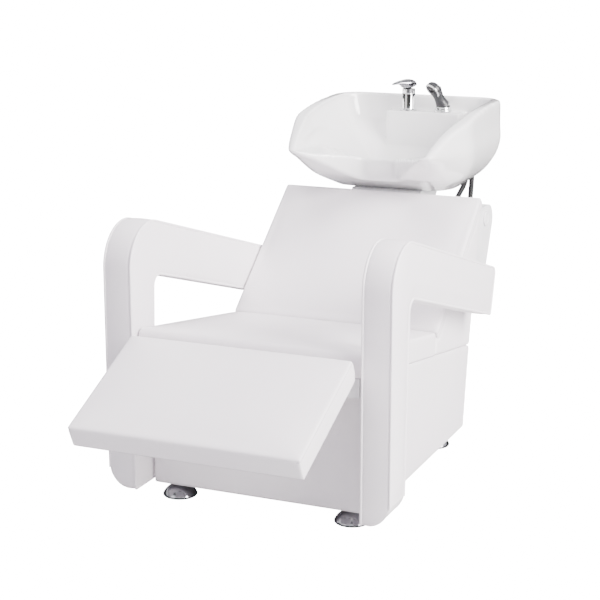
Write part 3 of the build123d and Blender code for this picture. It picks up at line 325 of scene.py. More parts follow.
def joined(*parts):
    """One mesh of several bodies, each its points and faces."""
    points, faces = [], []
    for some_points, some_faces in parts:
        first = len(points)
        points += list(some_points)
        faces += [tuple(first + k for k in face) for face in some_faces]
    return mesh_from(points, faces)


def in_frame(origin, along, up):
    """The matrix that takes (along, across, up) of a piece to the bed's frame."""
    matrix = Matrix((along, up.cross(along), up)).transposed().to_4x4()
    matrix.translation = origin
    return matrix


# Shaders


def add_node(tree, kind, inputs, **settings):
    """A node with its settings; each input takes a value or another node's output."""
    node = tree.nodes.new(kind)
    for key, value in settings.items():
        setattr(node, key, value)
    for key, value in inputs.items():
        if isinstance(value, bpy.types.NodeSocket):
            tree.links.new(value, node.inputs[key])
        else:
            node.inputs[key].default_value = value
    return node


def math_node(tree, operation, *values):
    return add_node(tree, "ShaderNodeMath", dict(enumerate(values)), operation=operation).outputs[0]


def noise_node(tree, vector, scale, detail=3.0, roughness=0.5):
    inputs = {"Vector": vector, "Scale": scale, "Detail": detail, "Roughness": roughness}
    return add_node(tree, "ShaderNodeTexNoise", inputs).outputs["Fac"]


def blend_node(tree, factor, first, second):
    inputs = {"Factor": factor, "A": first, "B": second}
    return add_node(tree, "ShaderNodeMix", inputs, data_type="RGBA").outputs["Result"]


def range_node(tree, value, low, high):
    inputs = {"Value": value, "From Min": low, "From Max": high}
    return add_node(tree, "ShaderNodeMapRange", inputs).outputs["Result"]


def stretched(tree, vector, scale):
    return add_node(tree, "ShaderNodeMapping", {"Vector": vector, "Scale": scale}).outputs["Vector"]


def group_tree(name, inputs, outputs, tree_kind="ShaderNodeTree"):
    """A tree with the named inputs and outputs, and these as sockets inside it."""
    tree = bpy.data.node_groups.new(name, tree_kind)
    for label, kind, default in inputs:
        socket = tree.interface.new_socket(label, in_out="INPUT", socket_type="NodeSocket" + kind)
        if default is not None:
            socket.default_value = default
    for label, kind in outputs:
        tree.interface.new_socket(label, in_out="OUTPUT", socket_type="NodeSocket" + kind)
    return tree, tree.nodes.new("NodeGroupInput").outputs, tree.nodes.new("NodeGroupOutput").inputs


def hide_grain_group():
    """Pebbled grain of artificial leather with faint creases."""
    tree, come, go = group_tree(
        "hide_grain",
        [("Vector", "Vector", None), ("Scale", "Float", 620.0), ("Creases", "Float", 0.35)],
        [("Height", "Float"), ("Mask", "Float")],
    )
    where = {"Vector": come["Vector"], "Scale": come["Scale"]}
    cells = add_node(tree, "ShaderNodeTexVoronoi", where, feature="DISTANCE_TO_EDGE")
    pebble = math_node(tree, "SMOOTH_MIN", cells.outputs["Distance"], 0.28, 0.12)
    fine = noise_node(tree, come["Vector"], 1900.0, 2.0)
    crease = noise_node(tree, come["Vector"], 34.0, 4.0, 0.62)
    crease = math_node(tree, "ABSOLUTE", math_node(tree, "SUBTRACT", crease, 0.5))
    crease = math_node(tree, "MULTIPLY", crease, come["Creases"])
    height = math_node(tree, "ADD", math_node(tree, "MULTIPLY", pebble, 2.2), math_node(tree, "MULTIPLY", fine, 0.18))
    tree.links.new(math_node(tree, "ADD", height, crease), go["Height"])
    tree.links.new(math_node(tree, "MULTIPLY", pebble, 3.4), go["Mask"])
    return tree


def mottle_group():
    """Slow, faint change of tone over a surface."""
    tree, come, go = group_tree(
        "slow_mottle",
        [
            ("Vector", "Vector", None),
            ("Scale", "Float", 5.0),
            ("Light", "Color", (1, 1, 1, 1)),
            ("Dark", "Color", (0.8, 0.8, 0.8, 1)),
        ],
        [("Color", "Color"), ("Fac", "Float")],
    )
    share = range_node(tree, noise_node(tree, come["Vector"], come["Scale"], 5.0, 0.55), 0.35, 0.68)
    tree.links.new(blend_node(tree, share, come["Light"], come["Dark"]), go["Color"])
    tree.links.new(share, go["Fac"])
    return tree


def scuff_group():
    """Fine scratches and smudges that change the roughness of hard surfaces."""
    tree, come, go = group_tree(
        "fine_scuffs",
        [("Vector", "Vector", None), ("Base", "Float", 0.1), ("Amount", "Float", 0.1)],
        [("Roughness", "Float"), ("Height", "Float")],
    )
    lines = noise_node(tree, stretched(tree, come["Vector"], (60, 60, 900)), 1.0, 3.0)
    smudge = noise_node(tree, come["Vector"], 38.0, 4.0, 0.6)
    change = math_node(tree, "MULTIPLY", math_node(tree, "MULTIPLY", lines, smudge), come["Amount"])
    tree.links.new(math_node(tree, "ADD", change, come["Base"]), go["Roughness"])
    tree.links.new(lines, go["Height"])
    return tree


class Finish:
    """A material being made: its tree, its shader, its Object coordinates and the bump on its normal."""

    def __init__(self, name, tone, roughness, metallic=0.0, coat=0.0, sheen=0.0, coat_roughness=0.08):
        self.material = bpy.data.materials.new(name)
        self.material.use_nodes = True
        self.tone = tone
        self.tree = self.material.node_tree
        self.shader = self.tree.nodes["Principled BSDF"].inputs
        keys = ("Base Color", "Roughness", "Metallic", "Coat Weight", "Sheen Weight", "Coat Roughness")
        for key, value in zip(keys, ((*tone, 1), roughness, metallic, coat, sheen, coat_roughness)):
            self.shader[key].default_value = value
        self.where = self.tree.nodes.new("ShaderNodeTexCoord").outputs["Object"]
        bump = self.tree.nodes.new("ShaderNodeBump")
        self.bump = bump.inputs
        self.feed("Normal", bump.outputs["Normal"])

    def darker(self, shares):
        """The tone with each part taken down to its share."""
        return (*(part * share for part, share in zip(self.tone, shares)), 1)

    def feed(self, socket, output):
        self.tree.links.new(output, self.shader[socket])

    def grouped(self, group, **values):
        """The outputs of a node group at the Object coordinates."""
        return add_node(self.tree, "ShaderNodeGroup", {"Vector": self.where, **values}, node_tree=FINISH[group]).outputs

    def mottled(self, scale, shares):
        """Base colour with slow darker spots."""
        color = self.grouped("slow_mottle", Scale=scale, Light=(*self.tone, 1), Dark=self.darker(shares))["Color"]
        self.feed("Base Color", color)
        return color

    def scuffed(self, base, amount):
        """Roughness that changes with fine scuffs; gives their height."""
        scuffs = self.grouped("fine_scuffs", Base=base, Amount=amount)
        self.feed("Roughness", scuffs["Roughness"])
        return scuffs["Height"]

    def raised(self, height, strength, distance):
        self.tree.links.new(height, self.bump["Height"])
        self.bump["Strength"].default_value = strength
        self.bump["Distance"].default_value = distance
        return self.material


def leather_finish(name, tone):
    """White artificial leather: pebble grain, faint creases, and seams read from the seam attribute, grooved and
    darkened there with painted shade.
    """
    hide = Finish(name, tone, 0.46, coat=0.12, sheen=0.05)
    tree = hide.tree
    grain = hide.grouped("hide_grain")
    color = hide.mottled(4.5, (0.965, 0.955, 0.97))
    seam = add_node(tree, "ShaderNodeAttribute", {}, attribute_name="seam")
    line = range_node(tree, math_node(tree, "ABSOLUTE", seam.outputs["Fac"]), 0.0, 0.0022)
    # Painted shade: a darker lilac grey along the seams, strongest in the gaps where pads meet base and wedge
    hide.feed("Base Color", blend_node(tree, line, hide.darker((0.50, 0.47, 0.52)), color))
    hide.feed("Roughness", math_node(tree, "SUBTRACT", 0.52, math_node(tree, "MULTIPLY", grain["Mask"], 0.10)))
    height = math_node(tree, "ADD", grain["Height"], math_node(tree, "MULTIPLY", line, 3.0))
    return hide.raised(height, 0.22, 0.0004)


def glaze_finish(name, tone):
    """White glaze with a faint wave."""
    glaze = Finish(name, tone, 0.08, coat=1.0, coat_roughness=0.03)
    glaze.mottled(7.0, (0.975, 0.98, 0.975))
    glaze.scuffed(0.09, 0.12)
    return glaze.raised(noise_node(glaze.tree, glaze.where, 160.0, 2.0), 0.05, 0.0004)


def metal_finish(name, tone, base, amount, metallic=1.0, strength=0.03):
    """Bright or plated metal, or a smooth plastic where it isn't metallic."""
    metal = Finish(name, tone, base, metallic)
    metal.mottled(22.0, (0.93, 0.93, 0.93))
    return metal.raised(metal.scuffed(base, amount), strength, 0.0002)


def moulded_finish(name, tone, rough, grain_scale, strength):
    """Paint or plastic with a fine moulded texture."""
    moulded = Finish(name, tone, rough)
    moulded.mottled(14.0, (0.9, 0.9, 0.9))
    moulded.scuffed(rough, 0.12)
    return moulded.raised(noise_node(moulded.tree, moulded.where, grain_scale, 2.0), strength, 0.0003)


def plywood_finish(name, tone):
    """Raw plywood, streaked along its grain."""
    wood = Finish(name, tone, 0.6)
    streaks = noise_node(wood.tree, stretched(wood.tree, wood.where, (6, 60, 220)), 1.0, 6.0, 0.6)
    wood.feed("Base Color", blend_node(wood.tree, streaks, wood.darker((0.72, 0.68, 0.62)), (*tone, 1)))
    return wood.raised(streaks, 0.2, 0.0005)


def ribbed_rubber(name, tone):
    """Matt rubber with rings around upright runs."""
    rubber = Finish(name, tone, 0.55)
    tree = rubber.tree
    split = add_node(tree, "ShaderNodeSeparateXYZ", {"Vector": rubber.where})
    rings = math_node(tree, "SINE", math_node(tree, "MULTIPLY", split.outputs["Z"], 2 * pi / 0.0042))
    fine = math_node(tree, "MULTIPLY", noise_node(tree, rubber.where, 1500.0, 2.0), 0.3)
    rubber.scuffed(0.45, 0.2)
    rubber.mottled(30.0, (0.6, 0.6, 0.6))
    return rubber.raised(math_node(tree, "ADD", rings, fine), 0.9, 0.0008)


def dress(finish, *nodes):
    """Gives the frame's own solids their finish."""
    for node in nodes:
        NODES[node].data.materials.clear()
        NODES[node].data.materials.append(FINISH[finish])


# Geometry Nodes: a welt along a path


def welt_tree():
    """A round band swept along a path, its width and thickness named inputs."""
    tree, come, go = group_tree(
        "welt",
        [("Geometry", "Geometry", None), ("Width", "Float", 0.007), ("Thickness", "Float", 0.0012)],
        [("Geometry", "Geometry")],
        "GeometryNodeTree",
    )
    line = add_node(tree, "GeometryNodeMeshToCurve", {"Mesh": come["Geometry"]}).outputs["Curve"]
    line = add_node(tree, "GeometryNodeSetCurveNormal", {"Curve": line, "Normal": (1, 0, 0)}, mode="FREE")
    ring = add_node(tree, "GeometryNodeCurvePrimitiveCircle", {"Resolution": 10, "Radius": 0.5})
    size = add_node(tree, "ShaderNodeCombineXYZ", {"X": come["Width"], "Y": come["Thickness"], "Z": 1.0})
    section = {"Geometry": ring.outputs["Curve"], "Scale": size.outputs["Vector"]}
    section = add_node(tree, "GeometryNodeTransform", section).outputs["Geometry"]
    band = {"Curve": line.outputs["Curve"], "Profile Curve": section, "Fill Caps": True}
    band = add_node(tree, "GeometryNodeCurveToMesh", band).outputs["Mesh"]
    real = add_node(tree, "GeometryNodeRealizeInstances", {"Geometry": band}).outputs["Geometry"]
    coat = add_node(tree, "GeometryNodeSetMaterial", {"Geometry": real, "Material": FINISH["welt"]})
    tree.links.new(coat.outputs["Geometry"], go["Geometry"])
    return tree, come["Width"].identifier, come["Thickness"].identifier


def welt_along(name, path, closed, tree, values):
    """Runs the welt's tree over the polyline and leaves a plain mesh that rides on the bed."""
    count = len(path)
    edges = [(k, (k + 1) % count) for k in range(count if closed else count - 1)]
    mesh = bpy.data.meshes.new(name + "_path")
    mesh.from_pydata([tuple(p) for p in path], edges, [])
    holder = linked(name + "_path", mesh)
    modifier = holder.modifiers.new("path", "NODES")
    modifier.node_group = tree
    for identifier, value in values.items():
        modifier[identifier] = value
    result = evaluated(holder)
    mark_seam_shade(result, NO_SEAM)
    finished(name, result, "welt", "bed")


# Pads: a closed form in the pad's own frame, then swollen by cloth pressure


def pad_blank(size, radii, voxel):
    """A block with its section's corners rounded, in the pad's frame of along, across and up."""
    length, half_span, low, depth = size
    section = side_outline([(0, low), (0, depth), (length, depth), (length, low)], radii, 0.004)
    mesh = voxelled(prism(section, -half_span, half_span), voxel, 1)
    put(mesh, places(mesh)[:, (1, 0, 2)])
    mesh.flip_normals()
    return mesh


def swollen(mesh, held, cap):
    """The mesh after cloth pressure, no point moved by more than the cap, the held points at rest."""
    scene = bpy.context.scene
    holder = linked("cloth", mesh)
    start = places(mesh).copy()
    group = holder.vertex_groups.new(name="held")
    group.add([int(k) for k in np.nonzero(held)[0]], 1.0, "REPLACE")
    modifier = holder.modifiers.new("Cloth", "CLOTH")
    cloth = modifier.settings
    cloth.quality, cloth.mass = 4, 0.3
    cloth.tension_stiffness = cloth.compression_stiffness = cloth.shear_stiffness = 9.0
    cloth.bending_stiffness = 0.5
    cloth.use_pressure, cloth.uniform_pressure_force = True, 4.0
    cloth.vertex_group_mass = "held"
    cloth.effector_weights.gravity = 0.0
    modifier.collision_settings.use_self_collision = False
    modifier.point_cache.frame_start = 1
    modifier.point_cache.frame_end = 20
    for number in range(1, 21):
        scene.frame_set(number)
    shaped = holder.evaluated_get(bpy.context.evaluated_depsgraph_get())
    move = vectors(shaped.to_mesh().vertices, "co") - start
    shaped.to_mesh_clear()
    scene.frame_set(1)
    bpy.data.objects.remove(holder)
    # A tight cover bulges, but never sinks in
    facing = outward(mesh)
    move = move - np.minimum((move * facing).sum(1, keepdims=True), 0) * facing
    length = np.linalg.norm(move, axis=1, keepdims=True)
    put(mesh, start + move * cap * np.tanh(length / cap) / np.maximum(length, 1e-9))
    return mesh


def pad_edge(spots, size):
    """How far each point is from the pad's ends and sides."""
    return np.minimum.reduce([spots[:, 0], size[0] - spots[:, 0], size[1] - np.abs(spots[:, 1])])


def build_pad(name, node, body, matrix, size, radii, crown, seams, cap, voxel):
    """A tight pad in its room: crowned, its section's corners rounded, its seams given as heights on its sides.

    The size is its length, half span, underside and top, in its own frame.
    """
    length, half_span, low, depth = size
    mesh = pad_blank(size, radii, voxel)
    spots = places(mesh)
    along, across, up = spots.T
    middle = 1 - np.clip(np.abs(across) / half_span, 0, 1) ** 4
    bow = 1 - np.clip(np.abs(along / length * 2 - 1), 0, 1) ** 4
    spots[:, 2] = up + crown * middle * bow * np.clip(up / depth, 0, 1) ** 2
    put(mesh, spots)
    held = (spots[:, 2] < low + 0.004) | (pad_edge(spots, size) < 0.004)
    mesh = through_modifiers(swollen(mesh, held, cap), ("SUBSURF", {"levels": 1, "render_levels": 1}))
    spots = places(mesh)
    # Nothing leaves the room of the pad
    spots[:, 1] = np.clip(spots[:, 1], -half_span, half_span)
    spots[:, 0] = np.clip(spots[:, 0], 0.0003, length - 0.0003)
    spots[:, 2] = np.maximum(spots[:, 2], low)
    put(mesh, spots)
    # The skin dips into its seams; a dark line of painted shade runs round the foot of the sides, with fainter painted
    # shade along the seams
    foot = np.where(pad_edge(spots, size) < 0.009, spots[:, 2] - 0.0010, NO_SEAM)
    nearest = np.full(len(spots), NO_SEAM)
    for height in seams:
        gap = spots[:, 2] - height
        nearest = np.where(np.abs(gap) < np.abs(nearest), gap, nearest)
    on_side = half_span - np.abs(spots[:, 1]) < 0.009
    dip = 0.0008 * np.exp(-((nearest / 0.0028) ** 2)) * on_side
    spots = spots - outward(mesh) * dip[:, None]
    put(mesh, spots)
    faint = np.where(on_side, np.sign(nearest) * (np.abs(nearest) + 0.0011), NO_SEAM)
    mark_seam_shade(mesh, np.where(np.abs(foot) < np.abs(faint), foot, faint))
    world = np.array(matrix)
    put(mesh, spots @ world[:3, :3].T + world[:3, 3])
    pad = finished(name, mesh, "leather", body, (node,))


# The pieces


class WashingBedSettings(PropertyGroup):
    """Sizes and colours of the looks."""

    leather_tone: FloatVectorProperty(
        name="Leather", description="Colour of the covers", subtype="COLOR", default=(0.87, 0.84, 0.855), min=0, max=1
    )
    glaze_tone: FloatVectorProperty(
        name="Glaze", description="Colour of the basin", subtype="COLOR", default=(0.90, 0.90, 0.895), min=0, max=1
    )
    welt_width: FloatProperty(name="Welt", description="Width of the welts of the arms", unit="LENGTH", default=0.0062)
    welt_height: FloatProperty(name="Welt rise", description="Thickness of the welts", unit="LENGTH", default=0.0062)
    welt_inset: FloatProperty(name="Welt inset", description="From the arm's side", unit="LENGTH", default=0.0028)
    pillow: FloatProperty(name="Pillow", description="Swell of the padded panels", unit="LENGTH", default=0.0045)
    nozzles: IntProperty(name="Nozzles", description="Nozzles in the outer ring of the shower", default=16)


class WASHBED_OT_stage(Operator):
    """Floor, lights, world and camera"""

    bl_idname = "washbed.stage"
    bl_label = "Stage"

    # What the camera sees of floor and world shines this much, which leaves them plain white
    shine = 16.5

    def execute(self, context):
        self.floor()
        self.world(context.scene)
        for name, place, aim, size, power in (
            ("key", (4.2, -0.9, 2.5), (0, 0, 0.4), 3.2, 880),
            ("top", (-0.3, 0.5, 4.4), (0, 0, 0.4), 3.4, 250),
            ("fill", (-2.2, -3.6, 1.2), (0, 0, 0.3), 3.0, 30),
        ):
            light = bpy.data.lights.new(name, "AREA")
            light.shape = "DISK"
            light.size = size
            light.energy = power
            light.color = (1.0, 0.97, 0.95)
            holder = linked(name, light)
            holder.location = place
            holder.rotation_euler = (Vector(aim) - Vector(place)).to_track_quat("-Z", "Y").to_euler()
            holder.visible_glossy = name != "top"
        lens = bpy.data.cameras.new("camera")
        lens.lens = 94.05
        lens.sensor_width = 36
        camera = linked("camera", lens)
        camera.location = (1.38872, -3.36033, 1.30197)
        camera.rotation_euler = (radians(76.19), 0, radians(23.25))
        context.scene.camera = camera
        return {"FINISHED"}

    def floor(self):
        """Looks white, but throws no more light up than a grey floor, and bright metal sees it dark."""
        corners = [(-60, -60, 0), (60, -60, 0), (60, 60, 0), (-60, 60, 0)]
        mesh = mesh_from(corners, [(0, 1, 2, 3)])
        pale = Finish("floor_pale", (0.9, 0.9, 0.9), 0.75)
        tree = pale.tree
        tree.links.new(noise_node(tree, pale.where, 60.0, 2.0), pale.bump["Height"])
        pale.bump["Strength"].default_value = 0.01
        rays = tree.nodes.new("ShaderNodeLightPath").outputs
        for socket, dim, mirrored, bright in (("Base Color", 0.52, 0.10, 0.92), ("Emission Color", 0.0, 0.0, 1.0)):
            seen = blend_node(tree, rays["Is Glossy Ray"], (dim,) * 3 + (1,), (mirrored,) * 3 + (1,))
            seen = blend_node(tree, rays["Is Camera Ray"], seen, (bright,) * 3 + (1,))
            pale.feed(socket, seen)
        pale.shader["Emission Strength"].default_value = self.shine
        mesh.materials.append(pale.material)
        floor = linked("floor", mesh)

    def world(self, scene):
        """Lilac light for the object, a studio for bright metal to mirror, plain white for the camera."""
        world = scene.world = bpy.data.worlds.new("studio")
        world.use_nodes = True
        sky = world.node_tree
        dim = sky.nodes["Background"]
        dim.inputs["Color"].default_value = (0.93, 0.86, 1.03, 1)
        dim.inputs["Strength"].default_value = 1.08
        # A bright band between a dark ceiling and dark walls
        ramp = sky.nodes.new("ShaderNodeValToRGB")
        for place, level in ((0.0, 0.03), (0.22, 0.10), (0.34, 1.0), (0.62, 0.9), (0.74, 0.06), (1.0, 0.04)):
            stops = ramp.color_ramp.elements
            stop = stops.new(place) if 0 < place < 1 else stops[int(place)]
            stop.color = (level, level, level, 1)
        where = sky.nodes.new("ShaderNodeTexCoord").outputs["Generated"]
        split = add_node(sky, "ShaderNodeSeparateXYZ", {"Vector": where})
        sky.links.new(split.outputs["Z"], ramp.inputs["Fac"])
        band = add_node(sky, "ShaderNodeBackground", {"Color": ramp.outputs["Color"], "Strength": 2.2})
        white = add_node(sky, "ShaderNodeBackground", {"Strength": self.shine})
        rays = sky.nodes.new("ShaderNodeLightPath").outputs
        seen = dim.outputs[0]
        for ray, instead in (("Is Glossy Ray", band), ("Is Camera Ray", white)):
            inputs = {0: rays[ray], 1: seen, 2: instead.outputs[0]}
            seen = add_node(sky, "ShaderNodeMixShader", inputs).outputs[0]
        sky.links.new(seen, sky.nodes["World Output"].inputs["Surface"])


class WASHBED_OT_finishes(Operator):
    """Materials, and the finish of the frame's own solids"""

    bl_idname = "washbed.finishes"
    bl_label = "Finishes"

    def execute(self, context):
        leather = tuple(context.scene.washing_bed.leather_tone)
        FINISH.update(hide_grain=hide_grain_group(), slow_mottle=mottle_group(), fine_scuffs=scuff_group())
        FINISH.update(
            leather=leather_finish("leather_white", leather),
            # The welts take a lighter copy of the leather: a painted highlight along the edges of the arms
            welt=leather_finish("leather_welt_painted_highlight", tuple(min(1.04 * tone, 0.92) for tone in leather)),
            glaze=glaze_finish("glaze_white", tuple(context.scene.washing_bed.glaze_tone)),
            chrome=metal_finish("chrome_bright", (0.86, 0.87, 0.88), 0.05, 0.12),
            # A darker copy of the bright chrome for the feet and the lever blade: painted dark reflection on parts of
            # the same chrome as the rest
            smoked_chrome=metal_finish("chrome_with_painted_dark_reflection", (0.30, 0.30, 0.325), 0.06, 0.12),
            steel=metal_finish("steel_plated", (0.60, 0.61, 0.63), 0.32, 0.25, strength=0.1),
            graphite=metal_finish("graphite_grey", (0.022, 0.023, 0.026), 0.30, 0.15, metallic=0.0),
            cover=moulded_finish("cover_white", (0.86, 0.86, 0.87), 0.32, 400.0, 0.05),
            paint=moulded_finish("paint_black", (0.035, 0.035, 0.038), 0.35, 700.0, 0.1),
            plastic=moulded_finish("plastic_black", (0.02, 0.02, 0.022), 0.4, 1200.0, 0.1),
            plywood=plywood_finish("plywood_birch", (0.72, 0.56, 0.38)),
            rubber=ribbed_rubber("rubber_ribbed", (0.022, 0.022, 0.024)),
        )
        dress("plywood", "floor_board", "seat_board", "rail_gussets", "legrest_board")
        dress("steel", "foot_stems", "foot_nuts", "hinge_fixed_leaves", "hinge_moving_leaves", "hinge_pins")
        dress("steel", "tilt_axle", "lever_pin", "tap_nuts", "hose_unions", "arm_bolts")
        dress("paint", "tilt_uprights")
        dress("plastic", "drain_cup")
        dress("rubber", "supply_hoses", "waste_hose", "shower_hose", "grommets")
        dress("chrome", "drain_strainer", "mixer_cap")
        dress("cover", "rear_housing", "cradle", "seat_rail")
        return {"FINISHED"}


def arm_corners():
    """Side outline of an arm as its corners and their radii."""
    tip, inner, thick = deep(0.749), deep(0.108), 0.119
    tip_top = 0.6738 - 0.749 * tan(ARM_SLOPE)
    foot = (tip - thick * sin(ARM_SLOPE), tip_top - thick * cos(ARM_SLOPE))
    corners = [
        (ARM_FRONT, ARM_LOW),
        (ARM_FRONT, 0.6738),
        (tip, tip_top),
        foot,
        (inner, foot[1] + (foot[0] - inner) * tan(ARM_SLOPE)),
        (deep(0.092), ARM_LOW),
    ]
    return corners, [0.006, 0.097, 0.020, 0.008, 0.024, 0.006]


def foot_at(x):
    """Height that the rounded outer foot of an arm starts at."""
    over = np.clip(x - (HALF_WIDTH - FOOT_ROUND), 0, FOOT_ROUND)
    return ARM_LOW + FOOT_ROUND - np.sqrt(np.maximum(FOOT_ROUND**2 - over**2, 0))


class WASHBED_OT_arms(Operator):
    """Upholstered arms with their welts"""

    bl_idname = "washbed.arms"
    bl_label = "Arms"

    def execute(self, context):
        values = context.scene.washing_bed
        outline = side_outline(*arm_corners(), 0.005)
        tree, width, thickness = welt_tree()
        sizes = {width: values.welt_width, thickness: values.welt_height}
        welts = {"inner": HALF_INNER + values.welt_inset + 0.0008, "outer": HALF_WIDTH - values.welt_inset}
        for side, node in ((-1, "arm_left"), (1, "arm_right")):
            self.cover(node, side, outline, values.pillow)
            for name, place in welts.items():
                path, closed = self.welt_path(outline, side, place)
                welt_along(f"{node}_welt_{name}", path, closed, tree, sizes)
        return {"FINISHED"}

    def cover(self, node, side, outline, pillow):
        mesh = voxelled(prism(outline, HALF_INNER + CLEAR, HALF_WIDTH - CLEAR), 0.0055, 3)
        spots = places(mesh)
        spots[:, 2] = np.maximum(spots[:, 2], foot_at(spots[:, 0]))
        reach = distance_to(spots[:, 1:3], outline)
        outer_face = spots[:, 0] > HALF_WIDTH - 0.006
        inner_face = spots[:, 0] < HALF_INNER + 0.006
        swell = pillow * eased(reach - 0.002, 0.038) * eased(spots[:, 2] - 0.078, 0.05)
        spots[:, 0] += np.where(outer_face, swell, 0)
        put(mesh, spots)
        # The boxing swells a little between its welts
        middle = (HALF_INNER + HALF_WIDTH) / 2
        belly = 1 - np.clip(np.abs(spots[:, 0] - middle) / 0.026, 0, 1) ** 2
        edge = ~outer_face & ~inner_face & (reach < 0.003)
        spots = spots + outward(mesh) * (belly * edge * 0.0012)[:, None]
        spots[:, 0] *= side
        put(mesh, spots)
        if side < 0:
            mesh.flip_normals()
        mark_seam_shade(mesh, NO_SEAM)
        finished(node + "_cover", mesh, "leather", "bed", (node,))

    def welt_path(self, outline, side, place):
        """Path of a welt, and whether it closes; the outer one runs out where the foot rounds off."""
        path = [(side * place, y, z) for y, z in drawn_in(outline, 0.0022)]
        count = len(path)
        kept = [k for k, spot in enumerate(path) if spot[2] > foot_at(place) + 0.001]
        if len(kept) == count:
            return path, True
        first = next(k for k in kept if (k - 1) % count not in kept)
        return [path[(first + k) % count] for k in range(len(kept))], False


class WASHBED_OT_base(Operator):
    """Padded base box and wedge"""

    bl_idname = "washbed.base"
    bl_label = "Base"

    def execute(self, context):
        pillow = context.scene.washing_bed.pillow
        front, rear_top, low = deep(0.077), deep(0.781), 0.0302
        corners = [
            (front, low),
            (front, seam_height(front) - 0.001),
            (rear_top, seam_height(rear_top) - 0.001),
            (deep(0.747), low),
        ]
        self.panel("base_cover", "base_box", corners, [0.003, 0.003, 0.002, 0.003], pillow * 0.5, front)
        start = deep(0.011 + 0.497 * cos(SEAM_SLOPE))
        heel_y, heel_z = WEDGE_HEEL
        corners = [
            (start, seam_height(start) + 0.0005),
            (heel_y - 0.015 * sin(BACK_ANGLE), heel_z + 0.015 * cos(BACK_ANGLE)),
            (heel_y, heel_z - 0.001),
            WEDGE_PEAK,
            (rear_top, seam_height(rear_top) + 0.0005),
        ]
        self.panel("wedge_cover", "back_wedge", corners, [0.002, 0.0, 0.0, 0.004, 0.002], pillow * 0.3)
        return {"FINISHED"}

    def panel(self, name, node, corners, radii, swell_by, front=None):
        """A cover over the section, its sides and its front, if it shows one, a little swollen."""
        outline = side_outline(corners, radii)
        mesh = voxelled(prism(outline, -HALF_INNER + CLEAR, HALF_INNER - CLEAR), 0.005, 1)
        spots = places(mesh)
        reach = distance_to(spots[:, 1:3], outline)
        on_side = np.abs(spots[:, 0]) > HALF_INNER - 0.006
        swell = -CLEAR + swell_by * 0.4 * eased(reach, 0.05)
        spots[:, 0] += np.sign(spots[:, 0]) * np.where(on_side, swell, 0)
        # The seam between base, wedge and seat shows as a dark line of painted shade on the sides
        seam = np.where(on_side, spots[:, 2] - seam_height(spots[:, 1]), NO_SEAM)
        if front is not None:
            on_front = np.abs(spots[:, 1] - front) < 0.004
            inward = HALF_INNER - np.abs(spots[:, 0])
            up = np.minimum(spots[:, 2] - 0.0315, seam_height(front) - spots[:, 2])
            spots[:, 1] -= np.where(on_front, swell_by * eased(np.minimum(inward, up), 0.05), 0)
        put(mesh, spots)
        mark_seam_shade(mesh, seam)
        finished(name, mesh, "leather", "bed", (node,))


class WASHBED_OT_pads(Operator):
    """Seat, back and leg-rest pads"""

    bl_idname = "washbed.pads"
    bl_label = "Pads"

    def execute(self, context):
        seat_y = deep(0.011)
        along, up = self.tipped(SEAM_SLOPE, 1)
        seat = in_frame((0, seat_y, seam_height(seat_y)), along, up)
        size, radii = (0.498, HALF_INNER - CLEAR, -0.003, 0.055), (0.002, 0.015, 0.004, 0.002)
        build_pad("seat_pad", "seat_cushion", "bed", seat, size, radii, 0.005, (), 0.005, 0.006)
        along, up = self.tipped(-BACK_ANGLE, 1)
        back = in_frame((0, *WEDGE_HEEL), along, up)
        size, radii = (0.432, HALF_INNER - 0.0005, -0.0015, 0.0295), (0.002, 0.003, 0.007, 0.003)
        build_pad("back_pad", "back_cushion", "bed", back, size, radii, 0.005, (0.0205,), 0.004, 0.005)
        along, up = self.tipped(LEG_ANGLE, -1)
        leg = in_frame(Vector((0, deep(0.0055), 0.35852)) + along * 0.003 + up * 0.0055, along, up)
        size, radii = (0.308, 0.2605, -0.0015, 0.0525), (0.014, 0.003, 0.007, 0.004)
        build_pad("leg_pad", "legrest_cushion", "leg_rest", leg, size, radii, 0.004, (0.045,), 0.004, 0.005)
        return {"FINISHED"}

    def tipped(self, angle, facing):
        """The run of a pad, towards the facing and tipped down by the angle, and its upward side."""
        along = Vector((0, facing * cos(angle), -sin(angle)))
        return along, Vector((0, facing * sin(angle), cos(angle)))


class WASHBED_OT_basin(Operator):
    """Glazed basin with softened edges"""

    bl_idname = "washbed.basin"
    bl_label = "Basin"

    def execute(self, context):
        # The frame's mesh is loose triangles
        solid = welded(NODES["basin"].data.copy(), 2e-5)
        mesh = voxelled(solid, 0.0035, 6)
        # The outer skin and the notch are eased more than the bowl, the deck and the seats of the taps
        spots = places(mesh)
        out = spots[:, :2] - np.array([0, deep(0.93)])
        out /= np.maximum(np.linalg.norm(out, axis=1, keepdims=True), 1e-6)
        outer = np.clip((outward(mesh)[:, :2] * out).sum(1) * 2 + 0.2, 0, 1)
        outer *= np.clip((spots[:, 2] - 0.625) / 0.03, 0, 1)
        ease = ("SMOOTH", {"factor": 0.5, "iterations": 30, "vertex_group": "soft"})
        mesh = through_modifiers(mesh, ease, weights=outer)
        finished("basin_glazed", mesh, "glaze", "basin_unit", ("basin",))
        return {"FINISHED"}


class WASHBED_OT_feet(Operator):
    """Domed chrome feet"""

    bl_idname = "washbed.feet"
    bl_label = "Feet"

    def execute(self, context):
        profile = [(36.5, 0), (38.5, 0.8), (39.8, 2.4), (40, 4.8)]
        # The dome is a shallow arc between the rim and the neck
        chord = np.array([12 - 40, 28 - 5])
        normal = np.array([chord[1], -chord[0]]) / np.linalg.norm(chord)
        for step in range(1, 17):
            share = step / 17
            profile.append(tuple(np.array([40, 5]) + chord * share + normal * 4 * 4 * share * (1 - share)))
        profile += [(12.5, 27.8), (12, 28.4), (12, 30.8), (0, 30.8)]
        feet = [turned(profile, (x, deep(y), 0)) for x in (-0.213, 0.213) for y in (0.104, 0.668)]
        finished("feet_domes", joined(*feet), "smoked_chrome", "bed", ("feet",))
        return {"FINISHED"}


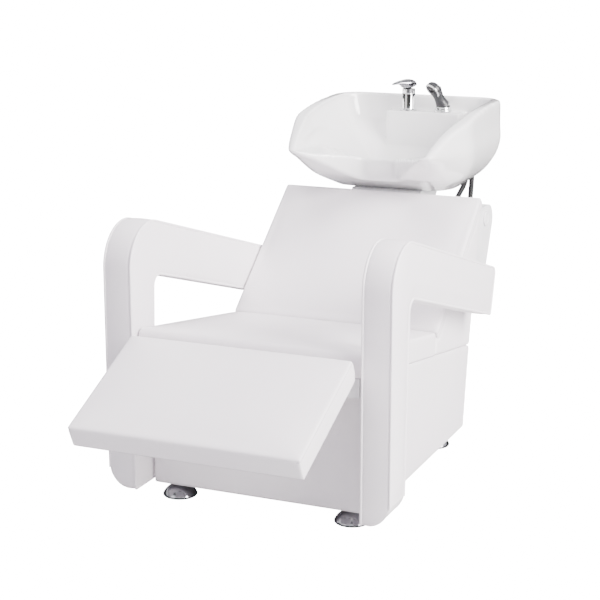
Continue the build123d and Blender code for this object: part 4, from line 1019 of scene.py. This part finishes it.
class WASHBED_OT_cover(Operator):
    """Round caps of the rear cover"""

    bl_idname = "washbed.cover"
    bl_label = "Rear cover"

    def execute(self, context):
        profile = [
            (19, 0), (19, 4.2), (18.2, 5.4), (16.8, 5.8), (13.5, 5.8),
            (12.8, 4.8), (12.2, 4), (10, 4.6), (5, 5.2), (0.6, 5.4),
        ]
        caps = [turned(profile, (side * 0.25, deep(0.945), 0.536), (side, 0, 0)) for side in (-1, 1)]
        finished("caps_round", joined(*caps), "cover", "bed", ("axle_caps",))
        return {"FINISHED"}


class WASHBED_OT_mixer(Operator):
    """Lever mixer"""

    bl_idname = "washbed.mixer"
    bl_label = "Mixer"

    def execute(self, context):
        profile = [
            (12.5, -48), (12.5, 0), (21.5, 0), (23, 1.2), (23, 2.8), (21.8, 4),
            (18.6, 4.6), (18, 6.2), (18, 44.5), (17.6, 46.8), (16.5, 48), (0.5, 48),
        ]
        shape = joined(turned(profile, (*MIXER, DECK)))
        finished("mixer_turned", shape, "chrome", "basin_unit", ("mixer_body",), SHARP)
        # An oval mark below the lever, from a dome pressed flat
        dome, faces = turned([(1, 0), (0.97, 0.55), (0.8, 0.85), (0.45, 0.98), (0.02, 1)], (0, 0, 0), around=32)
        place = Vector((*MIXER, DECK + 0.048 - 0.011)) + TOWARDS * 0.0165
        side = UP.cross(TOWARDS)
        oval = [place + side * p[0] * 4 + UP * p[1] * 6.5 + TOWARDS * p[2] * 1.9 for p in dome]
        finished("mixer_button", joined((oval, faces)), "plastic", "basin_unit", ("mixer_mark",))
        self.lever()
        return {"FINISHED"}

    def lever(self):
        """A drawn-out blade with room for the cap's tongue and a bore for the pin."""
        # Reach from the axis, underside, top and half width, in millimetres
        stations = (
            (-18, 852, 857, 12), (-16.5, 850.6, 861.6, 15), (-13, 849.2, 865.6, 16.8), (-8, 847.1, 868.2, 17.8),
            (-2, 845, 869.4, 18), (5, 844, 869.6, 18), (12, 844, 869, 17.5), (17.5, 845.8, 868.2, 16.5),
            (22.5, 851.2, 867.2, 15), (30, 855.2, 865.6, 13), (39, 856.4, 863.6, 10.6), (47, 856, 861.4, 8),
            (52, 855.4, 859.6, 5.6), (54.8, 855.3, 858, 3.4),
        )
        path = [Vector((*MIXER, (low + top) / 2 * MM)) + TOWARDS * reach * MM for reach, low, top, _ in stations]
        sizes = [(wide * MM, (top - low) / 2 * MM) for _, low, top, wide in stations]
        blade = voxelled(joined(swept(path, sizes, 2.6, TOWARDS)), 0.0009, 4)
        pivot = Vector((*MIXER, 0.8493))
        room = bmesh.new()
        bmesh.ops.create_cube(room, size=1.0)
        # Length, width and height of the room, about the pivot
        place = in_frame(pivot, TOWARDS, UP) @ Matrix.Diagonal((0.0184, 0.0096, 0.0150, 1))
        bmesh.ops.transform(room, matrix=place, verts=room.verts)
        tongue_room = bpy.data.meshes.new("tongue_room")
        room.to_mesh(tongue_room)
        room.free()
        bore = turned([(2.4, -20), (2.4, 20)], pivot, UP.cross(TOWARDS), 24)
        blade = cut_by(cut_by(blade, tongue_room), joined(bore))
        finished("mixer_blade", blade, "smoked_chrome", "mixer_handle", ("mixer_lever",))


class WASHBED_OT_shower(Operator):
    """Hand shower in its ring"""

    bl_idname = "washbed.shower"
    bl_label = "Hand shower"

    def execute(self, context):
        self.ring()
        start = Vector((*SHOWER, DECK + 0.014))
        lean, droop = radians(30), radians(38)
        out = TOWARDS * sin(lean) + UP * cos(lean)
        facing = TOWARDS * cos(droop) - UP * sin(droop)
        head = start + out * 0.058
        self.handle(start, out, head, facing)
        self.face(head, facing, context.scene.washing_bed.nozzles)
        return {"FINISHED"}

    def ring(self):
        profile = [
            (10.3, -34), (13, -34), (13, 0), (22.8, 0), (24, 1.2), (24, 5.2), (23.2, 6.2), (21.4, 6.6),
            (21, 7.8), (21, 11.8), (20.2, 13.4), (18.6, 14), (11.2, 14), (10.3, 13.4),
        ]
        points, faces = turned(profile, (*SHOWER, DECK))
        # The bore's wall takes the place of the two ends
        around = 64
        last = len(points) - around
        faces = faces[:-2] + [(last + k, last + (k + 1) % around, (k + 1) % around, k) for k in range(around)]
        shape = joined((points, faces))
        finished("shower_seat", shape, "chrome", "basin_unit", ("shower_ring",), SHARP)

    def handle(self, start, out, head, facing):
        """Stem, collar, waisted grip and head as one body, with a bright trim round the head."""
        stem = turned([(10, -60), (10, 0.3)], start)
        collar = turned([(18.6, 0.3), (19.2, 1), (19.2, 2.6), (18.6, 3.6)], start)
        path = [start + UP * 3 * MM] + [start + out * reach * MM for reach in (10, 20, 32, 44, 56)]
        grip = swept(path, [(r * MM, r * MM) for r in (19, 17.2, 14.8, 13.6, 15, 17)], 2.0)
        profile = [(4, -10.5), (11, -9.8), (17, -7.5), (21, -3.5), (22.8, 1)]
        profile += [(23, 6), (23, 9.8), (19.5, 9.8), (19.5, 7.2)]
        trim = [(19.6, 8.5), (22.6, 8.5), (23.2, 9.8), (22.6, 11.4), (20, 11.8)]
        finished("shower_trim", joined(turned(trim, head, facing)), "chrome", "hand_shower")
        body = voxelled(joined(stem, collar, grip, turned(profile, head, facing)), 0.0011, 4)
        finished("shower_body", body, "graphite", "hand_shower", ("shower_handle",))

    def face(self, head, facing, nozzles):
        """The plate with its rings of nozzles."""
        plate = turned([(19.5, 6.8), (19.9, 11), (19, 12), (1, 12.6)], head, facing)
        side = UP.cross(facing).normalized()
        rise = facing.cross(side)
        studs = []
        for radius, count in ((0.0158, nozzles), (0.0112, 11), (0.0064, 7), (0.0, 1)):
            for angle in even_turn(count):
                spot = head + (side * cos(angle) + rise * sin(angle)) * radius
                studs.append(turned([(1.1, 11), (0.9, 13.2), (0.4, 13.7)], spot, facing, 10))
        shape = joined(plate, *studs)
        finished("shower_nozzles", shape, "plastic", "hand_shower", ("shower_face",))


class WASHBED_PT_panel(Panel):
    """Sizes and steps of the washing bed"""

    bl_idname = "WASHBED_PT_panel"
    bl_label = "Washing bed"
    bl_space_type = "VIEW_3D"
    bl_region_type = "UI"
    bl_category = "Washing bed"

    def draw(self, context):
        column = self.layout.column()
        for name in WashingBedSettings.__annotations__:
            column.prop(context.scene.washing_bed, name)
        for operator in STEPS:
            column.operator(operator.bl_idname)


STEPS = (
    WASHBED_OT_stage,
    WASHBED_OT_finishes,
    WASHBED_OT_arms,
    WASHBED_OT_base,
    WASHBED_OT_pads,
    WASHBED_OT_basin,
    WASHBED_OT_feet,
    WASHBED_OT_cover,
    WASHBED_OT_mixer,
    WASHBED_OT_shower,
)
CLASSES = (WashingBedSettings, *STEPS, WASHBED_PT_panel)


def register():
    for part in CLASSES:
        bpy.utils.register_class(part)
    bpy.types.Scene.washing_bed = PointerProperty(type=WashingBedSettings)


def unregister():
    del bpy.types.Scene.washing_bed
    for part in reversed(CLASSES):
        bpy.utils.unregister_class(part)


def main():
    register()
    bpy.ops.washbed.stage()
    bpy.ops.washbed.finishes()
    bpy.ops.washbed.arms()
    bpy.ops.washbed.base()
    bpy.ops.washbed.pads()
    bpy.ops.washbed.basin()
    bpy.ops.washbed.feet()
    bpy.ops.washbed.cover()
    bpy.ops.washbed.mixer()
    bpy.ops.washbed.shower()
    bpy.context.view_layer.update()


if __name__ == "__main__":
    main()
